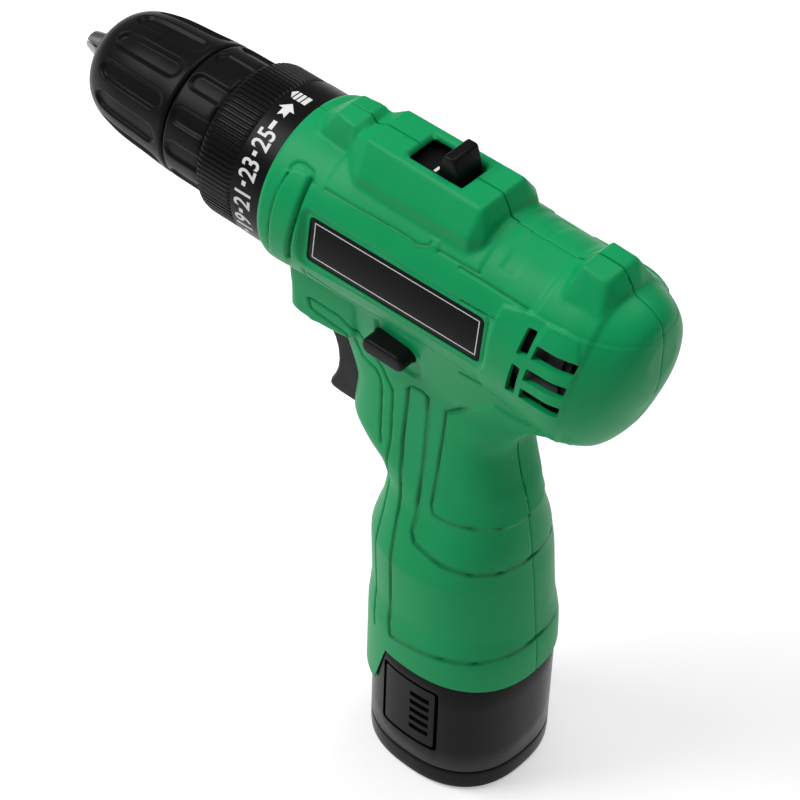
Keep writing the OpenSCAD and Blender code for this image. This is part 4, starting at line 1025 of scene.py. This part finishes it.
def buildTrigger():
    t = trigger
    outline = [(9.4, -35), (23, -35), (23, -59.5), (14, -59.5), (11.4, -59.2), (10.2, -58.2), (10.6, -56.4),
               (11.9, -53.8),
               (12.8, -51), (13.1, -47.5), (12.7, -44), (11.7, -41), (10, -38.2)]
    body = across(outline, -t["halfWidth"], t["halfWidth"])
    rim = [e for e in body.edges if abs(e.verts[0].co.y - e.verts[1].co.y) < 1e-6
           and min(v.co.x for v in e.verts) < 14.5]
    bmesh.ops.bevel(body, geom=rim, offset=1.1, affect="EDGES", segments=4, profile=0.5, material=-1)
    obj = newPiece("trigger_blade", body)
    combine(obj, [block((17, -6.2, -57.5), (24, 6.2, -37))], "DIFFERENCE")
    combine(obj, [rod((16.5, 0, -43), (32.5, 0, -43), 2.4, 32)], "UNION")
    finishPiece(obj, finishes["black"], "trigger", ["trigger"], 35)


def buildButton():
    b = button
    x0, x1 = b["x"]
    half = b["height"] / 2
    up = b["up"]
    shapes = []
    for low, high in ((b["left"], -2), (2, b["right"])):
        part = across([(x0, up - half), (x1, up - half), (x1, up + half), (x0, up + half)], low, high,
                      half - 0.04, 10)
        outerY = low if low < 0 else high
        rim = [e for e in part.edges if all(abs(v.co.y - outerY) < 1e-5 for v in e.verts)]
        bmesh.ops.bevel(part, geom=rim, offset=0.9, affect="EDGES", segments=4, profile=0.5, material=-1)
        shapes.append(part)
    middle = (x0 + x1) / 2
    obj = newPiece("direction_key", shapes[0])
    combine(obj, [block((middle - 4, -3, up - 0.8), (middle + 4, 3, up + 1.6)), shapes[1]], "UNION")
    finishPiece(obj, finishes["black"], "direction_button", ["direction_button"], 35)


selector = dict(plate=((28.2, -5.8, 24.4), (55.5, 5.8, 26.2)), knob=(40.6, 46.8), knobTop=35.2, knobHalf=4.6)


def buildSelector():
    s = selector
    obj = newPiece("speed_slider", block(*s["plate"], soften=0.2))
    a, b = s["knob"]
    knob = across([(a, 25.8), (b, 25.8), (b - 0.3, 31.2), (b - 1.7, s["knobTop"]), (a + 1.5, s["knobTop"]),
                   (a + 0.1, 32.2)],
                  -s["knobHalf"], s["knobHalf"])
    edges = [e for e in knob.edges if max(v.co.z for v in e.verts) > 30]
    bmesh.ops.bevel(knob, geom=edges, offset=0.7, affect="EDGES", segments=4, profile=0.5, material=-1)
    combine(obj, [knob], "UNION")
    finishPiece(obj, finishes["trim"], "selector", ["speed_selector"], 35)
    tick = newPiece("slider_tick", block((37.2, -2.2, 26.16), (38.0, -0.2, 26.26)))
    finishPiece(tick, finishes["white"], "selector")


buildBadges()
buildTrigger()
buildButton()
buildSelector()
print("controls done")


# ---- battery pack ----

pack = dict(square=2.4, top=42.0, seam=7.5, base=7.4, stick=(-2, 20.9, 19.4, 2.3), stickTop=75.5, wall=0.8,
            latchX=(-8.5, 8.5), latchZ=(15, 37), latchDepth=1.4, travel=1.2, ribs=5)


def footSkin(levels, rows, around=200):
    z, inset = np.array(levels, float).T
    def place(u, v):
        at = v * (len(levels) - 1)
        height = np.interp(at, range(len(levels)), z)
        shrinkBy = np.interp(at, range(len(levels)), inset)
        x, y = ovalPoint(u * 2 * math.pi, footLength / 2 - shrinkBy, footWidth / 2 - shrinkBy, pack["square"])
        return np.stack([footMiddle + x, y, foot + height], axis=1)
    return skin(around, rows, place)


def stickSkin(low, high, inset):
    shift, a, b, square = pack["stick"]
    def place(u, v):
        x, y = ovalPoint(u * 2 * math.pi, a - inset, b - inset, square)
        return np.stack([footMiddle + shift + x, y, foot + low + (high - low) * v], axis=1)
    return skin(120, 2, place)


def latchSlab(grow, inward, outward):
    p = pack
    face = footWidth / 2
    return [((footMiddle + p["latchX"][0] - grow, face - inward, foot + p["latchZ"][0] - grow),
             (footMiddle + p["latchX"][1] + grow, face + outward, foot + p["latchZ"][1] + grow))]


def buildPack():
    p = pack
    rounded = 0.35
    case = newPiece("pack_case", footSkin([(p["seam"], rounded), (p["seam"] + 0.15, 0.12),
                                           (p["seam"] + rounded, 0),
                                           (24, 0), (p["top"] - 0.5, 0), (p["top"] - 0.1, 0.2),
                                           (p["top"], 0.5)], 12))
    combine(case, [stickSkin(p["seam"] + 5, p["stickTop"], 0)], "UNION")
    cuts = [stickSkin(p["seam"] - 1, p["stickTop"] - 1.6, p["wall"])]
    (low, high), = latchSlab(1.1, p["latchDepth"] + p["travel"] + 0.9, 4)
    for side in (-1, 1):
        recess = across([(low[0], low[2]), (high[0], low[2]), (high[0], high[2]), (low[0], high[2])],
                        side * low[1], side * high[1], 1.2, 4)
        cuts.append(recess)
    combine(case, cuts, "DIFFERENCE")
    for y in (-6, 0, 6):
        combine(case, [block((footMiddle - 6.2, y - 0.6, foot + p["stickTop"] - 3),
                             (footMiddle + 2.2, y + 0.6, foot + p["stickTop"] + 1))], "DIFFERENCE")
    finishPiece(case, finishes["battery"], "battery", ["battery_case"], 35)
    base = newPiece("pack_base", footSkin([(0, 1.7), (0.2, 1.0), (0.6, 0.45), (1.2, 0.12), (3, 0),
                                           (p["base"] - 0.3, 0),
                                           (p["base"] - 0.1, 0.12), (p["base"], 0.35)], 21))
    combine(base, [stickSkin(3.2, p["base"] + 1, p["wall"])], "DIFFERENCE")
    screws = nodes["battery_screws"]
    low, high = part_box("battery_screws")
    combine(base, [rod((x, y, foot - 1), (x, y, foot + 2), 2.35, 24) for x, y in screwPlaces(screws)],
            "DIFFERENCE")
    finishPiece(base, finishes["battery"], "battery", ["battery_base"], 35)


def screwPlaces(screws):
    points = meshPoints(screws.data) * 1000
    points[:, 0] -= toFrame[0][3] * 1000
    middle = points.mean(axis=0)
    places = []
    for sx in (-1, 1):
        for sy in (-1, 1):
            mine = points[(np.sign(points[:, 0] - middle[0]) == sx)
                          & (np.sign(points[:, 1] - middle[1]) == sy)]
            if len(mine):
                places.append(((mine[:, 0].min() + mine[:, 0].max()) / 2,
                               (mine[:, 1].min() + mine[:, 1].max()) / 2))
    return places


def buildLatches():
    p = pack
    depth = p["latchDepth"]
    for side, name in ((-1, "left"), (1, "right")):
        (low, high), = latchSlab(0, depth + 0.4, 0.0)
        slab = across([(low[0], low[2]), (high[0], low[2]), (high[0], high[2]), (low[0], high[2])], low[1],
                      high[1] + 2, 0.9, 4)
        obj = newPiece("latch_panel_" + name, slab)
        combine(obj, [footSkin([(2, 0.06), (60, 0.06)], 1)], "INTERSECT")
        grips = []
        for k in range(p["ribs"]):
            z = high[2] - 5.2 - k * 3.3
            grips.append(block((footMiddle + 0.6, high[1] - 1.55, z),
                               (footMiddle + 6.9, high[1] + 3, z + 1.9), 0.25, 2))
        combine(obj, grips, "DIFFERENCE")
        if side < 0:
            bm = bmesh.new()
            bm.from_mesh(obj.data)
            bmesh.ops.scale(bm, vec=(1, -1, 1), verts=bm.verts)
            bmesh.ops.recalc_face_normals(bm, faces=bm.faces)
            bm.to_mesh(obj.data)
            bm.free()
        finishPiece(obj, finishes["battery"], "latch_" + name, ["latch_" + name], 35)


springs = dict(wire=0.8, turns=7, leaf=0.25, pressed=0.25)


# A node's box in the layout's millimetres.
def layoutBox(node):
    return [toFrame.inverted() @ Vector(corner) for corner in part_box(node)]


# The coil behind the trigger, built to the length of the trigger spring's box.
def buildTriggerSpring():
    low, high = layoutBox("trigger_spring")
    wire = springs["wire"]
    radius = (high.y - low.y - wire) / 2
    length = high.x - low.x
    def place(u, v):
        turn = 2 * math.pi * springs["turns"] * v
        out = radius + wire / 2 * np.cos(2 * math.pi * u)
        back = low.x + wire / 2 + (length - wire) * v + wire / 2 * np.sin(2 * math.pi * u)
        return np.stack([back, out * np.sin(turn), (low.z + high.z) / 2 + out * np.cos(turn)], axis=1)
    coil = newPiece("trigger_coil", skin(10, springs["turns"] * 20, place))
    finishPiece(coil, finishes["gear"], "housing", ["trigger_spring"], 60)
    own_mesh(coil)


# Behind each latch a bowed leaf, built in its bowed shape.
def buildLatchSprings():
    low, high = layoutBox("latch_springs")
    base = high.y - pack["travel"]
    bow = pack["travel"] - springs["leaf"]
    for side, name in ((-1, "left"), (1, "right")):
        def place(u, v):
            corner = np.round(u * 4).astype(int) % 4
            out = base + np.array([0, 1, 1, 0])[corner] * springs["leaf"] + bow * (1 - (2 * v - 1) ** 2)
            up = np.where(corner < 2, low.z, high.z)
            return np.stack([low.x + (high.x - low.x) * v, side * out, up], axis=1)
        strip = skin(4, 12, place)
        bmesh.ops.recalc_face_normals(strip, faces=strip.faces)
        leaf = newPiece("latch_leaf_" + name, strip)
        finishPiece(leaf, finishes["gear"], "battery", ["latch_springs"])
        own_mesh(leaf)


buildPack()
buildLatches()
buildTriggerSpring()
buildLatchSprings()
print("pack and springs done")


# ---- camera, floor and light ----

view = dict(place=(0.34489, -0.44122, 0.68505), azimuth=40.01, elevation=45.0, roll=2.0, lens=142.1)


def addCamera():
    az, el, roll = (math.radians(view[k]) for k in ("azimuth", "elevation", "roll"))
    right = Vector((math.cos(az), math.sin(az), 0))
    back = Vector((math.sin(az) * math.cos(el), -math.cos(az) * math.cos(el), math.sin(el)))
    up = back.cross(right)
    turnedRight = right * math.cos(roll) + up * math.sin(roll)
    turnedUp = up * math.cos(roll) - right * math.sin(roll)
    data = bpy.data.cameras.new("camera")
    data.lens = view["lens"]
    data.sensor_width = 36
    data.clip_start = 0.01
    camera = bpy.data.objects.new("camera", data)
    bpy.context.collection.objects.link(camera)
    turn = Matrix((turnedRight, turnedUp, back)).transposed().to_4x4()
    camera.matrix_world = Matrix.Translation(view["place"]) @ turn
    bpy.context.scene.camera = camera


lights = dict(world=0.20, key=(12.0, (-0.75, -0.55, 1.15), 0.7), fill=(0.25, (0.95, -0.75, 0.7), 0.9),
              top=(6.0, (0.05, 0.35, 1.3), 0.8))


def addLight(name, power, place, size):
    data = bpy.data.lights.new(name, "AREA")
    data.energy = power
    data.size = size
    lamp = bpy.data.objects.new(name, data)
    bpy.context.collection.objects.link(lamp)
    lamp.location = place
    lamp.rotation_euler = (Vector((0, 0, 0.12)) - Vector(place)).to_track_quat("-Z", "Y").to_euler()


def addStage():
    bm = bmesh.new()
    bmesh.ops.create_grid(bm, x_segments=1, y_segments=1, size=6)
    floor = newPiece("floor", bm)
    f = Finish("paleFloor", Roughness=0.9)
    f.shader.inputs["Base Color"].default_value = (0.9, 0.9, 0.9, 1)
    paths = f.tree.nodes.new("ShaderNodeLightPath")
    seen = Signal(f, paths.outputs["Is Camera Ray"])
    for ray in ("Is Glossy Ray", "Is Transmission Ray"):
        seen = seen.maths("MAXIMUM", Signal(f, paths.outputs[ray]))
    glow = f.add("ShaderNodeEmission", None, {"Color": (1, 1, 1, 1), "Strength": 0.42})
    plain = f.add("ShaderNodeEmission", None, {"Color": (0, 0, 0, 1), "Strength": 0.0})
    lit = f.add("ShaderNodeMixShader", None, {0: seen, 1: plain, 2: glow})
    both = f.add("ShaderNodeAddShader", None, {0: Signal(f, f.shader.outputs[0]), 1: lit})
    f.tree.links.new(both.socket, f.tree.nodes["Material Output"].inputs["Surface"])
    floor.data.materials.append(f.material)
    world = bpy.data.worlds.new("world")
    bpy.context.scene.world = world
    world.use_nodes = True
    world.node_tree.nodes["Background"].inputs["Color"].default_value = (1, 1, 1, 1)
    world.node_tree.nodes["Background"].inputs["Strength"].default_value = lights["world"]
    for name in ("key", "fill", "top"):
        addLight(name, *lights[name])


addCamera()
addStage()
bpy.context.scene.view_settings.view_transform = "Standard"
print("stage set")
